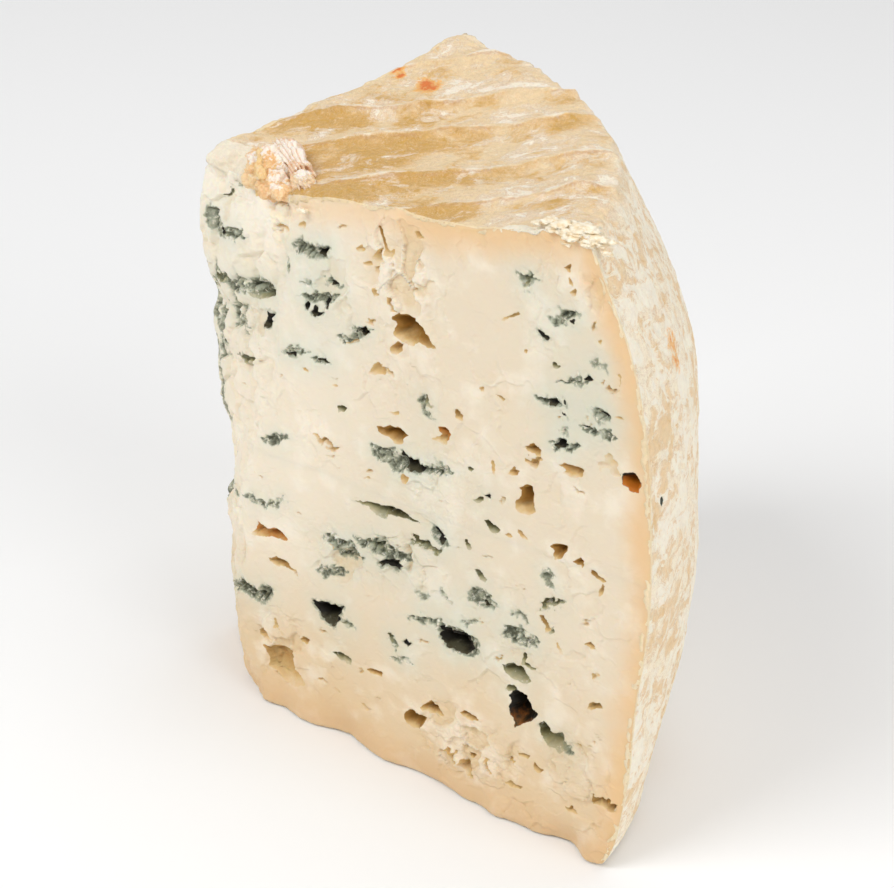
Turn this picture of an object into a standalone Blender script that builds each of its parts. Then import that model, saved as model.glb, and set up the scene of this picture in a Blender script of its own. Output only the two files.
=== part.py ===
"""A tall wedge cut from a small blue-veined wheel: rind on top, wall and base, two cut sides, a broken nose."""

import math
from typing import NamedTuple

import bmesh
import bpy
import numpy as np
from mathutils import Vector, noise

MM = 0.001

# Driving sizes. The wheel's axis is x = y = 0; the front cut runs along +X and faces -Y.
CUT_ANGLE = math.radians(76.0)
FRONT_REACH = 97.0 * MM
MIDDLE_REACH = 85.0 * MM
BACK_REACH = 76.0 * MM
RIM_HEIGHT = 101.2 * MM
ARRIS_SMOOTHING = 4
SURFACE_WAVE = 0.4 * MM
WAVE_LENGTH = 16.0 * MM

# Rings of points before the reduction, and the share of triangles that stays.
NOSE_TO_WALL = 74
FRONT_TO_BACK = 62
BASE_TO_TOP = 92
KEPT_SHARE = 0.14

# Height above the base against how far the wall stands in from its reach, both in millimetres.
WALL_INSET = (
    (0.0, 4.6),
    (3.0, 2.4),
    (8.0, 1.4),
    (17.0, 1.1),
    (30.0, 1.1),
    (42.0, 0.4),
    (50.0, 0.5),
    (59.0, 1.4),
    (70.0, 2.8),
    (80.0, 5.2),
    (87.0, 7.3),
    (94.0, 10.0),
    (101.2, 14.4),
)
# Away from the front cut the wall stands in by this much more, against height, in millimetres.
WALL_EXTRA = (
    (0.0, 4.6),
    (10.0, 2.6),
    (20.0, -0.8),
    (32.0, -1.8),
    (46.0, -0.4),
    (62.0, -0.4),
    (74.0, 0.0),
    (84.0, 1.2),
    (94.0, 2.8),
    (101.2, 3.0),
)
EXTRA_START, EXTRA_FULL = 0.04, 0.34
# Height against the distance from the wheel's axis at which the front cut starts, in millimetres.
NOSE_FRONT = (
    (0.0, 19.0),
    (6.0, 17.0),
    (14.0, 16.1),
    (28.0, 16.2),
    (36.0, 15.9),
    (47.0, 18.8),
    (56.0, 21.3),
    (68.0, 22.8),
    (82.0, 24.8),
    (92.0, 24.2),
)
# The same along the back cut.
NOSE_BACK = (
    (0.0, 15.0),
    (17.0, 14.8),
    (30.0, 14.8),
    (45.0, 12.4),
    (60.0, 11.5),
    (68.0, 11.0),
    (76.0, 8.8),
    (84.0, 6.8),
    (92.0, 7.0),
)
# Share of the way from the axis to the rim against how far the top lies under the rim, in millimetres.
TOP_DROP = (
    (0.0, 11.8),
    (0.30, 10.2),
    (0.45, 7.6),
    (0.56, 6.6),
    (0.70, 4.9),
    (0.84, 2.4),
    (0.93, 0.6),
    (1.0, 0.0),
)
# Towards the back cut the top swells by this much, halfway out.
BACK_SWELL = 2.6 * MM
# The top carries parallel ridges from the mat that the wheel drained on.
RIDGE_ANGLE = math.radians(38.0)
RIDGE_SPACING = 15.6 * MM
RIDGE_START = 6.3 * MM
RIDGE_RISE = 0.8 * MM
# A fold of rind stands on the top beside the nose, between these two places, in millimetres.
FOLD_ENDS = ((14.0, 11.0), (23.5, 3.8))
FOLD_WIDTH = 4.6 * MM
FOLD_RISE = 4.4 * MM


class Cave(NamedTuple):
    """A hollow in a cut side, in millimetres: place along the side, height, size, lean in degrees, depth."""

    along: float
    height: float
    wide: float
    tall: float
    lean: float
    deep: float


FRONT_CAVES = (
    Cave(30.5, 83.9, 7.5, 3.4, -8.0, 3.0),
    Cave(31.6, 74.7, 7.0, 4.2, -15.0, 5.0),
    Cave(39.8, 72.6, 5.8, 2.6, 8.0, 2.4),
    Cave(51.0, 76.5, 9.0, 5.4, 12.0, 2.6),
    Cave(45.0, 89.8, 3.0, 6.0, -12.0, 1.8),
    Cave(78.4, 93.4, 2.6, 5.6, 14.0, 1.8),
    Cave(78.3, 87.6, 3.4, 3.0, 20.0, 4.0),
    Cave(74.2, 83.6, 4.4, 2.2, -42.0, 3.6),
    Cave(80.8, 79.1, 6.8, 2.0, 10.0, 2.6),
    Cave(77.3, 73.6, 4.9, 3.3, 10.0, 5.0),
    Cave(79.8, 68.3, 4.6, 2.2, 6.0, 3.0),
    Cave(48.1, 58.7, 6.2, 2.9, 0.0, 1.8),
    Cave(50.3, 54.6, 11.4, 3.4, 14.0, 2.0),
    Cave(73.4, 56.6, 3.8, 5.4, -6.0, 2.8),
    Cave(38.2, 59.6, 7.4, 1.9, 6.0, 1.6),
    Cave(47.9, 45.1, 12.8, 2.6, 12.0, 2.2),
    Cave(49.0, 36.0, 5.8, 3.0, 6.0, 4.6),
    Cave(38.4, 33.7, 7.4, 5.6, -24.0, 2.2),
    Cave(58.1, 44.6, 2.6, 4.4, -6.0, 2.2),
    Cave(36.4, 21.7, 7.0, 5.0, 8.0, 4.6),
    Cave(61.7, 27.9, 8.4, 5.4, 24.0, 4.6),
    Cave(66.7, 36.7, 4.4, 3.0, -10.0, 2.0),
    Cave(74.6, 33.9, 6.4, 3.4, 12.0, 2.4),
    Cave(79.9, 38.6, 3.6, 7.6, -18.0, 2.2),
    Cave(74.0, 26.6, 5.8, 3.6, 4.0, 3.2),
    Cave(75.4, 21.6, 6.2, 6.8, 34.0, 5.0),
    Cave(81.9, 17.3, 4.8, 8.6, -30.0, 2.8),
    Cave(86.2, 48.7, 4.4, 6.6, -20.0, 1.8),
    Cave(91.0, 66.0, 2.8, 3.4, 0.0, 3.0),
    Cave(55.1, 9.7, 4.6, 4.0, 10.0, 2.8),
    Cave(58.6, 13.3, 4.2, 3.6, 10.0, 2.6),
    Cave(77.8, 12.0, 5.4, 4.0, 8.0, 2.0),
    Cave(23.6, 32.3, 8.0, 3.0, 4.0, 2.2),
    Cave(26.2, 27.1, 6.0, 2.4, 0.0, 1.6),
    Cave(27.4, 8.0, 8.4, 8.4, 20.0, 2.6),
    Cave(39.7, 15.1, 4.2, 2.6, 0.0, 1.8),
)
BACK_CAVES = (
    Cave(22.0, 71.0, 7.0, 4.0, 12.0, 3.4),
    Cave(37.0, 80.0, 9.0, 3.2, -8.0, 3.0),
    Cave(50.0, 66.0, 6.0, 5.0, 20.0, 4.4),
    Cave(30.0, 52.0, 10.0, 3.0, 10.0, 2.6),
    Cave(56.0, 45.0, 5.0, 6.0, -16.0, 3.6),
    Cave(41.0, 35.0, 8.0, 4.4, 24.0, 4.4),
    Cave(25.0, 25.0, 6.0, 3.6, 0.0, 3.2),
    Cave(58.0, 21.0, 7.0, 4.0, 30.0, 3.8),
    Cave(44.0, 12.0, 5.4, 3.4, 6.0, 2.4),
)


def curve(place, table):
    """The smooth line through the table's pairs, read at each place."""
    known = np.array(table, float)
    x, y = known[:, 0], known[:, 1]
    slope = np.gradient(y, x)
    place = np.clip(place, x[0], x[-1])
    left = np.clip(np.searchsorted(x, place, side="right") - 1, 0, len(x) - 2)
    step = x[left + 1] - x[left]
    t = (place - x[left]) / step
    rise = (2 * t + 1) * (1 - t) ** 2 * y[left] + t * t * (3 - 2 * t) * y[left + 1]
    lean = t * (1 - t) ** 2 * slope[left] - t * t * (1 - t) * slope[left + 1]
    return rise + step * lean


def wall_points(across, height):
    """The wall's plan position at a share of the cut angle and a height."""
    turn = across * CUT_ANGLE
    bow = MIDDLE_REACH - (FRONT_REACH + BACK_REACH) / 2
    reach = FRONT_REACH + (BACK_REACH - FRONT_REACH) * across + 4 * bow * across * (1 - across)
    extra = np.clip((across - EXTRA_START) / (EXTRA_FULL - EXTRA_START), 0, 1)
    extra = extra * extra * (3 - 2 * extra)
    inset = curve(height / MM, WALL_INSET) + extra * curve(height / MM, WALL_EXTRA)
    reach = reach - inset * MM
    return np.stack([np.cos(turn) * reach, np.sin(turn) * reach], axis=-1)


def nose_points(across, height):
    """The broken nose's plan position: straight from the front cut to the back cut."""
    front = curve(height / MM, NOSE_FRONT) * MM
    back = curve(height / MM, NOSE_BACK) * MM
    x = front * (1 - across) + back * math.cos(CUT_ANGLE) * across
    y = back * math.sin(CUT_ANGLE) * across
    return np.stack([x, y], axis=-1)


def place_in_wedge(out, across, up):
    """Maps shares of the way from nose to wall, front to back and base to top onto the wedge."""
    rim = np.full_like(up, RIM_HEIGHT)
    near = nose_points(across, rim)
    far = wall_points(across, rim)
    plan = near + (far - near) * out[:, None]
    share = np.linalg.norm(plan, axis=1) / np.linalg.norm(far, axis=1)
    swell = BACK_SWELL * across * np.sin(math.pi * np.clip((share - 0.3) / 0.6, 0, 1))
    height = up * (RIM_HEIGHT + swell - curve(share, TOP_DROP) * MM)
    near = nose_points(across, height)
    far = wall_points(across, height)
    plan = near + (far - near) * out[:, None]
    return np.column_stack([plan, height])


def block_grid(counts):
    """A block from 0 to 1 on each axis, its sides cut into the counts along X, Y and Z."""
    block = bmesh.new()
    bmesh.ops.create_cube(block, size=1.0)
    bmesh.ops.translate(block, verts=block.verts, vec=(0.5, 0.5, 0.5))
    for axis, count in enumerate(counts):
        along = []
        for edge in block.edges:
            start, end = edge.verts
            if abs(start.co[axis] - end.co[axis]) > 0.5:
                along.append(edge)
        bmesh.ops.subdivide_edges(block, edges=along, cuts=count - 1, use_grid_fill=True)
    block.verts.index_update()
    return block


def point_normals(points, quads):
    """The outward direction at each point."""
    diagonal = points[quads[:, 2]] - points[quads[:, 0]]
    other = points[quads[:, 3]] - points[quads[:, 1]]
    facing = np.cross(diagonal, other)
    total = np.zeros_like(points)
    for column in range(4):
        np.add.at(total, quads[:, column], facing)
    return total / np.linalg.norm(total, axis=1)[:, None]


def soften_arrises(points, quads, at, counts):
    """Rounds the edges between the sides, and keeps the base flat."""
    edge = ((at == 0) | (at == np.array(counts))).sum(axis=1) > 1
    near = edge.copy()
    for _ in range(2):
        touched = near[quads].any(axis=1)
        near[quads[touched]] = True
    for _ in range(ARRIS_SMOOTHING):
        total = np.zeros_like(points)
        count = np.zeros(len(points))
        for column in range(4):
            for step in (1, 3):
                np.add.at(total, quads[:, column], points[quads[:, (column + step) % 4]])
                np.add.at(count, quads[:, column], 1.0)
        moved = total / count[:, None]
        points = np.where(near[:, None], (points + moved) / 2, points)
    points[at[:, 2] == 0, 2] = 0.0
    return points


def hollow(points, caves, angle):
    """Pushes the caves of one cut side into the cheese, each a lumpy bowl."""
    along_side = np.array([math.cos(angle), math.sin(angle), 0.0])
    inward = np.array([-math.sin(angle), math.cos(angle), 0.0])
    if angle > 0:
        inward = -inward
    off = np.abs(points @ inward)
    along = points @ along_side / MM
    height = points[:, 2] / MM
    depth = np.zeros(len(points))
    for cave in caves:
        lean = math.radians(cave.lean)
        a = along - cave.along
        b = height - cave.height
        across = (a * math.cos(lean) + b * math.sin(lean)) / (cave.wide / 2)
        upward = (b * math.cos(lean) - a * math.sin(lean)) / (cave.tall / 2)
        turn = np.arctan2(upward, across)
        reach = np.hypot(across, upward) / (1 + 0.14 * np.sin(3 * turn + cave.along))
        bowl = np.clip(1.25 - reach, 0, 1)
        depth = np.maximum(depth, cave.deep * bowl * bowl * (3 - 2 * bowl))
    depth = np.where(off < 0.5 * MM, depth, 0.0)
    return points + inward * depth[:, None] * MM


def top_relief(points, at, counts):
    """Adds the ridges and the fold of rind to the top."""
    x, y = points[:, 0], points[:, 1]
    out = at[:, 0] / counts[0]
    across = y * math.cos(RIDGE_ANGLE) - x * math.sin(RIDGE_ANGLE)
    phase = (across - RIDGE_START) / RIDGE_SPACING
    crest = (0.5 + 0.5 * np.cos(2 * math.pi * phase)) ** 6
    rise = RIDGE_RISE * crest * np.clip(out * 4 - 0.6, 0, 1)
    start, end = np.array(FOLD_ENDS) * MM
    axis = end - start
    share = np.clip(((x - start[0]) * axis[0] + (y - start[1]) * axis[1]) / (axis @ axis), 0, 1)
    gap = np.hypot(x - start[0] - share * axis[0], y - start[1] - share * axis[1])
    rise = rise + FOLD_RISE * np.exp(-((gap / FOLD_WIDTH) ** 2) * 1.6)
    on_top = at[:, 2] == counts[2]
    points[:, 2] += np.where(on_top, rise, 0.0)
    return points


def wave_amount(point):
    """The slow unevenness of the surface at a point, from -1 to 1."""
    return noise.noise(Vector(point) / WAVE_LENGTH)


def shape_wedge(block, counts):
    """Bends the block into the wedge, with its origin under the middle of its bounding box."""
    share = np.array([vertex.co[:] for vertex in block.verts])
    quads = np.array([[vertex.index for vertex in face.verts] for face in block.faces])
    at = np.rint(share * np.array(counts)).astype(int)
    points = place_in_wedge(share[:, 0], share[:, 1], share[:, 2])
    points = hollow(points, FRONT_CAVES, 0.0)
    points = hollow(points, BACK_CAVES, CUT_ANGLE)
    points = top_relief(points, at, counts)
    points = soften_arrises(points, quads, at, counts)
    wave = np.array([wave_amount(point) for point in points]) * SURFACE_WAVE
    fade = np.clip(points[:, 2] / (6 * MM), 0, 1)
    points = points + point_normals(points, quads) * (wave * fade)[:, None]
    low, high = points.min(axis=0), points.max(axis=0)
    points -= np.array([(low[0] + high[0]) / 2, (low[1] + high[1]) / 2, 0.0])
    for vertex, point in zip(block.verts, points):
        vertex.co = point


def reduce_triangles(wedge):
    """Leaves triangles where the surface bends, and puts the base back on one plane."""
    modifier = wedge.modifiers.new("reduce", "DECIMATE")
    modifier.ratio = KEPT_SHARE
    modifier.use_collapse_triangulate = True
    bpy.context.view_layer.objects.active = wedge
    wedge.select_set(True)
    bpy.ops.object.modifier_apply(modifier="reduce")
    mesh = bmesh.new()
    mesh.from_mesh(wedge.data)
    for vertex in mesh.verts:
        if vertex.co.z < 0.3 * MM:
            vertex.co.z = 0.0
    bmesh.ops.dissolve_degenerate(mesh, dist=0.02 * MM, edges=mesh.edges)
    bmesh.ops.triangulate(mesh, faces=mesh.faces)
    mesh.to_mesh(wedge.data)
    mesh.free()


def cheese_material():
    """Ivory paste: soft, pale and slightly moist."""
    material = bpy.data.materials.new("cheese")
    material.use_nodes = True
    shader = material.node_tree.nodes["Principled BSDF"]
    shader.inputs["Base Color"].default_value = (0.74, 0.63, 0.44, 1.0)
    shader.inputs["Roughness"].default_value = 0.55
    shader.inputs["Metallic"].default_value = 0.0
    material.diffuse_color = (0.74, 0.63, 0.44, 1.0)
    return material


def build_wedge():
    """The whole wedge, one closed solid that rests on its base."""
    counts = (NOSE_TO_WALL, FRONT_TO_BACK, BASE_TO_TOP)
    block = block_grid(counts)
    shape_wedge(block, counts)
    data = bpy.data.meshes.new("cheese_wedge")
    block.to_mesh(data)
    block.free()
    wedge = bpy.data.objects.new("cheese_wedge", data)
    bpy.context.scene.collection.objects.link(wedge)
    data.materials.append(cheese_material())
    reduce_triangles(wedge)
    return wedge


def clear_scene():
    """Removes whatever the startup scene holds."""
    for thing in list(bpy.data.objects):
        bpy.data.objects.remove(thing, do_unlink=True)


def main():
    clear_scene()
    build_wedge()


if __name__ == "__main__":
    main()
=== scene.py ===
"""A tall wedge of blue-veined cheese: two cut sides, a broken nose, a ridged top, a floury wall and a flat base."""

import logging
import math
from dataclasses import dataclass, fields
from enum import Enum
from typing import Optional, Sequence, Union

import bpy
import numpy as np
from mathutils import Matrix, Vector


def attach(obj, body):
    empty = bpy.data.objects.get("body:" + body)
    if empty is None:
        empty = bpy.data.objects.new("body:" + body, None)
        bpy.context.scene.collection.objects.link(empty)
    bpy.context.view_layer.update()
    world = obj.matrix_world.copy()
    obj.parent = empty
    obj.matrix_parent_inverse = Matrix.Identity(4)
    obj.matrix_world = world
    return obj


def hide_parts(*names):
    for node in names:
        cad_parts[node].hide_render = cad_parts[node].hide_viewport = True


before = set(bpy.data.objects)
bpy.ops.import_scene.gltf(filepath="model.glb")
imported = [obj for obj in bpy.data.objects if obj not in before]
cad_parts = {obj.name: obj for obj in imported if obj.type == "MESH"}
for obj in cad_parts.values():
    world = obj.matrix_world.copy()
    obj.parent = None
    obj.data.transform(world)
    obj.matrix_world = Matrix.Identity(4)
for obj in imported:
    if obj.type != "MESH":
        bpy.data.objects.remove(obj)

log = logging.getLogger("blue_cheese")

MM = 0.001
NODE = "cheese_wedge"
Array = np.ndarray
Table = tuple[tuple[float, float], ...]

# Height against how far the wall stands in from its reach.
WALL_INSET: Table = (
    (0.0, 3.7), (3.0, 2.7), (8.0, 2.0), (17.0, 1.2), (30.0, 1.1), (42.0, 0.4), (50.0, 0.5),
    (59.0, 1.4), (70.0, 2.8), (80.0, 5.4), (87.0, 8.2), (94.0, 12.0), (101.2, 15.9),
)
# Height against how much further it stands in away from the front cut.
WALL_EXTRA: Table = (
    (0.0, 4.6), (10.0, 2.6), (20.0, -0.8), (32.0, -1.8), (46.0, -0.4), (62.0, -0.4),
    (74.0, 0.0), (84.0, 1.0), (94.0, 1.5), (101.2, 1.2),
)
# Height against the distance from the wheel's axis at which each cut starts.
NOSE_FRONT: Table = (
    (0.0, 20.2), (6.0, 17.8), (14.0, 16.1), (28.0, 16.2), (36.0, 15.9), (47.0, 18.8),
    (56.0, 21.3), (68.0, 22.8), (82.0, 24.8), (92.0, 24.2),
)
NOSE_BACK: Table = (
    (0.0, 15.0), (17.0, 14.8), (30.0, 14.8), (45.0, 12.4), (60.0, 11.5), (68.0, 11.0),
    (76.0, 8.8), (84.0, 6.8), (92.0, 7.0),
)
# Height against how far the nose bulges near the back cut.
NOSE_BULGE: Table = (
    (0.0, 0.2), (12.0, 0.3), (19.0, 0.6), (24.0, 1.0), (27.0, 2.0), (30.5, 0.0), (36.0, -0.2),
    (42.0, -0.3), (47.0, 0.9), (52.0, 1.5), (56.0, 1.3), (61.6, 2.2), (65.0, 1.2), (69.0, 2.4),
    (73.0, 2.3), (76.0, 2.0), (80.0, 1.1), (84.0, 0.3), (87.0, -0.6), (91.0, 0.6),
)
# Share of the way from the axis to the rim against how far the top lies under the rim.
TOP_DROP: Table = (
    (0.0, 12.3), (0.30, 9.4), (0.45, 7.2), (0.56, 6.4), (0.70, 4.9), (0.84, 2.4),
    (0.93, 0.6), (1.0, 0.0),
)
# Distance along the front cut against how far its foot stands out.
FOOT: Table = (
    (18.0, 0.0), (21.0, 0.1), (25.0, 1.1), (27.5, 0.3), (30.5, 0.9), (33.6, 1.1), (38.4, -0.3), (41.0, -0.7),
    (44.7, 0.2), (51.3, 0.8), (53.7, 0.1), (59.5, -0.2), (66.3, 0.7), (69.0, 0.5), (72.7, 1.4), (75.2, 0.6),
    (80.8, 0.2), (83.5, -0.9), (86.4, -1.1), (90.3, 1.0), (93.0, 1.0),
)


def curve(place: Array, table: Table) -> Array:
    """Reads the smooth line through a table of pairs.

    Args:
        place: Where to read it.
        table: Pairs of place and value, in rising order of place.

    Returns:
        The value at each place.
    """
    known = np.array(table, float)
    x, y = known[:, 0], known[:, 1]
    slope = np.gradient(y, x)
    place = np.clip(place, x[0], x[-1])
    left = np.clip(np.searchsorted(x, place, side="right") - 1, 0, len(x) - 2)
    step = x[left + 1] - x[left]
    t = (place - x[left]) / step
    rise = (2 * t + 1) * (1 - t) ** 2 * y[left] + t * t * (3 - 2 * t) * y[left + 1]
    lean = t * (1 - t) ** 2 * slope[left] - t * t * (1 - t) * slope[left + 1]
    return rise + step * lean


def eased(value: Array, low: float, high: float) -> Array:
    """Goes smoothly from 0 at low to 1 at high.

    Args:
        value: What is read.
        low: The value that gives 0.
        high: The value that gives 1; it may be the smaller one.

    Returns:
        Numbers from 0 to 1.
    """
    t = np.clip((value - low) / (high - low), 0.0, 1.0)
    return t * t * (3 - 2 * t)


class Grain:
    """Repeatable unevenness in space: smooth noise, layers of it, and cells."""

    def __init__(self, seed: int) -> None:
        """Deals the tables that every reading uses.

        Args:
            seed: Another seed gives another pattern.
        """
        dealer = np.random.default_rng(seed)
        self.order = dealer.permutation(256)
        lean = dealer.normal(size=(256, 3))
        self.lean = lean / np.linalg.norm(lean, axis=1)[:, None]
        self.spot = dealer.random((256, 4))

    def _pick(self, cell: Array) -> Array:
        """Gives each whole-numbered cell (n, 3) a number from 0 to 255."""
        first = self.order[cell[:, 0] & 255]
        second = self.order[(first + cell[:, 1]) & 255]
        return self.order[(second + cell[:, 2]) & 255]

    def smooth(self, points: Array, size: float) -> Array:
        """Reads smooth noise.

        Args:
            points: Places (n, 3), in millimetres.
            size: Distance from one swell to the next, in millimetres.

        Returns:
            Numbers of about -1 to 1.
        """
        place = points / size
        cell = np.floor(place).astype(np.int64)
        inside = place - cell
        ease = inside**3 * (inside * (inside * 6 - 15) + 10)
        total = np.zeros(len(points))
        for corner in range(8):
            step = np.array([corner & 1, (corner >> 1) & 1, corner >> 2])
            weight = np.prod(np.where(step, ease, 1 - ease), axis=1)
            total += weight * ((inside - step) * self.lean[self._pick(cell + step)]).sum(axis=1)
        return total * 1.6

    def layered(self, points: Array, size: float, layers: int = 4, keep: float = 0.5) -> Array:
        """Adds layers of smooth noise, each half the size of the one before.

        Args:
            points: Places (n, 3), in millimetres.
            size: Size of the largest swells, in millimetres.
            layers: How many layers.
            keep: Strength of each layer as a share of the one before.

        Returns:
            Numbers of about -1 to 1.
        """
        total, strength, whole = np.zeros(len(points)), 1.0, 0.0
        for layer in range(layers):
            total += strength * self.smooth(points + layer * 37.3, size / 2**layer)
            whole += strength
            strength *= keep
        return total / whole * 1.3

    def cells(self, points: Array, size: float) -> tuple[Array, Array, Array]:
        """Reads a pattern of irregular cells.

        Args:
            points: Places (n, 3), in millimetres.
            size: Usual width of a cell, in millimetres.

        Returns:
            Distance to the nearest cell's middle and to the next one's, as shares of size, and the nearest cell's own number from 0 to 1.
        """
        place = points / size
        cell = np.floor(place).astype(np.int64)
        near = np.full(len(points), 9.0)
        after = near.copy()
        own = np.zeros(len(points))
        for step in np.ndindex(3, 3, 3):
            other = cell + np.array(step) - 1
            spot = self.spot[self._pick(other)]
            gap = np.linalg.norm(other + spot[:, :3] - place, axis=1)
            closer = gap < near
            after = np.where(closer, near, np.minimum(after, gap))
            own = np.where(closer, spot[:, 3], own)
            near = np.where(closer, gap, near)
        return near, after, own


@dataclass(frozen=True)
class Wheel:
    """The shape that every piece is laid on: the sector of a small wheel, in millimetres about the wheel's axis."""

    cut_angle: float = math.radians(76.0)
    front_reach: float = 97.0
    middle_reach: float = 85.0
    back_reach: float = 76.0
    rim_height: float = 101.2
    extra_start: float = 0.04
    extra_full: float = 0.34
    back_swell: float = 0.7
    ridge_angle: float = math.radians(34.3)
    ridges: tuple[float, ...] = (-26.2, -13.0, 3.2, 14.4, 30.0)
    ridge_rise: float = 0.8
    origin: tuple[float, float, float] = (48.952, 37.052, 0.0)

    def wall(self, across: Array, height: Array) -> Array:
        """Gives the wall's plan position at a share of the cut angle and a height."""
        turn = across * self.cut_angle
        bow = self.middle_reach - (self.front_reach + self.back_reach) / 2
        reach = self.front_reach + (self.back_reach - self.front_reach) * across
        reach = reach + 4 * bow * across * (1 - across)
        extra = eased(across, self.extra_start, self.extra_full)
        reach = reach - curve(height, WALL_INSET) - extra * curve(height, WALL_EXTRA)
        return np.stack([np.cos(turn) * reach, np.sin(turn) * reach], axis=-1)

    def nose(self, across: Array, height: Array) -> Array:
        """Gives the broken nose's plan position, straight from the front cut to the back cut."""
        front, back = curve(height, NOSE_FRONT), curve(height, NOSE_BACK)
        x = front * (1 - across) + back * math.cos(self.cut_angle) * across
        return np.stack([x, back * math.sin(self.cut_angle) * across], axis=-1)

    def top_height(self, out: Array, across: Array) -> Array:
        """Gives the top's height at shares of the way from nose to wall and from front to back."""
        rim = np.full_like(out, self.rim_height)
        near, far = self.nose(across, rim), self.wall(across, rim)
        plan = near + (far - near) * out[:, None]
        share = np.linalg.norm(plan, axis=1) / np.linalg.norm(far, axis=1)
        swell = self.back_swell * across * np.sin(math.pi * np.clip((share - 0.3) / 0.6, 0, 1))
        swell += 1.2 * across * eased(share, 0.44, 0.26) * eased(share, 0.0, 0.2)
        swell += 0.9 * eased(across, 0.84, 1.0) * eased(share, 0.86, 1.0)
        return self.rim_height + swell - curve(share, TOP_DROP)

    def flow(self, plan: Array) -> tuple[Array, Array]:
        """Gives how far plan positions lie along the top's ridges, and across them."""
        x, y = plan[:, 0], plan[:, 1]
        cos, sin = math.cos(self.ridge_angle), math.sin(self.ridge_angle)
        return x * cos + y * sin, y * cos - x * sin

    def ridge_gap(self, across_ridges: Array) -> Array:
        """Gives how far a place across the ridges lies past the nearest one, below 0 before it."""
        gaps = across_ridges[:, None] - np.array(self.ridges)
        return gaps[np.arange(len(gaps)), np.abs(gaps).argmin(axis=1)]

    def inward(self, across: Array, height: Array) -> dict[str, Array]:
        """Gives the directions that point into the cheese from each side, as (n, 3) arrays."""
        count = len(across)
        turn = across * self.cut_angle
        start = self.nose(np.zeros(count), height)
        along = self.nose(np.ones(count), height) - start
        along = along / np.linalg.norm(along, axis=1)[:, None]
        still = np.zeros(count)
        return {
            "top": np.tile([0.0, 0.0, -1.0], (count, 1)),
            "base": np.tile([0.0, 0.0, 1.0], (count, 1)),
            "front": np.tile([0.0, 1.0, 0.0], (count, 1)),
            "back": np.tile([math.sin(self.cut_angle), -math.cos(self.cut_angle), 0.0], (count, 1)),
            "wall": -np.stack([np.cos(turn), np.sin(turn), still], axis=-1),
            "nose": np.stack([along[:, 1], -along[:, 0], still], axis=-1),
        }

    def rounding(self, out: Array, across: Array, up: Array, plain: Array) -> Array:
        """Gives how far each point moves in so that the edges between sides are soft.

        Args:
            out: Share of the way from nose to wall.
            across: Share of the way from front to back.
            up: Share of the way from base to top.
            plain: The points (n, 3) before rounding.

        Returns:
            Shifts (n, 3), in millimetres.
        """
        top = self.top_height(out, across)
        reach = np.hypot(plain[:, 0], plain[:, 1])
        depth = np.linalg.norm(self.wall(across, plain[:, 2]) - self.nose(across, plain[:, 2]), axis=1)
        gap = {
            "top": (1 - up) * top, "base": up * top,
            "front": across * self.cut_angle * reach, "back": (1 - across) * self.cut_angle * reach,
            "nose": out * depth, "wall": (1 - out) * depth,
        }
        inward = self.inward(across, plain[:, 2])
        grain = Grain(17)
        ragged = 0.75 + 1.3 * np.clip(grain.layered(plain, 6.5, 4, 0.6), -0.25, 1.0)
        shift = np.zeros_like(plain)
        for one, other, soft in EDGES:
            away = np.hypot(gap[one], gap[other])
            amount = 0.5 * (np.sqrt(away**2 + soft**2) - away) * ragged
            lean = inward[one] + inward[other]
            shift += lean / np.linalg.norm(lean, axis=1)[:, None] * amount[:, None]
        return shift

    def points(self, out: Array, across: Array, up: Array) -> Array:
        """Maps shares of the way out, across and up onto the wedge, its edges already soft.

        Args:
            out: Share of the way from nose to wall.
            across: Share of the way from front to back.
            up: Share of the way from base to top.

        Returns:
            Points (n, 3), in millimetres about the wheel's axis.
        """
        height = up * self.top_height(out, across)
        near, far = self.nose(across, height), self.wall(across, height)
        plain = np.column_stack([near + (far - near) * out[:, None], height])
        shift = self.rounding(out, across, up, plain)
        past = self.ridge_gap(self.flow(plain[:, :2])[1] + 0.8 * Grain(15).smooth(plain, 11.0))
        rise = np.exp(-((past / 1.3) ** 2)) + 0.45 * np.exp(-np.abs(past) / 3.0)
        rise *= (1 - 0.9 * eased(across, 0.82, 1.0)) * (1 - 0.75 * eased(out, 0.86, 1.0))
        rise *= 1 + 0.8 * Grain(16).smooth(plain, 9.0)
        plain[:, 2] += self.ridge_rise * rise * np.clip(out * 4 - 0.6, 0, 1) * up**14
        bulge = curve(height, NOSE_BULGE) * eased(out, 0.25, 0.0) * eased(across, 0.1, 0.7)
        foot = curve(plain[:, 0], FOOT) * eased(height, 6.0, 0.5) * eased(across, 0.08, 0.0)
        inward = self.inward(across, height)
        return plain + shift - inward["nose"] * bulge[:, None] - inward["front"] * foot[:, None]

    def settled(self, points: Array) -> Array:
        """Moves points from the wheel's axis to the part's own origin, in metres."""
        return (points - np.array(self.origin)) * MM


# Which two sides meet at each edge, and how soft it is.
EDGES: tuple[tuple[str, str, float], ...] = (
    ("top", "front", 0.8), ("top", "back", 1.2), ("top", "nose", 4.4), ("top", "wall", 1.8),
    ("wall", "front", 0.6), ("wall", "back", 1.2), ("nose", "front", 1.8), ("nose", "back", 1.0),
    ("base", "front", 0.6), ("base", "back", 1.0), ("base", "nose", 0.7), ("base", "wall", 1.0),
)


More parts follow.
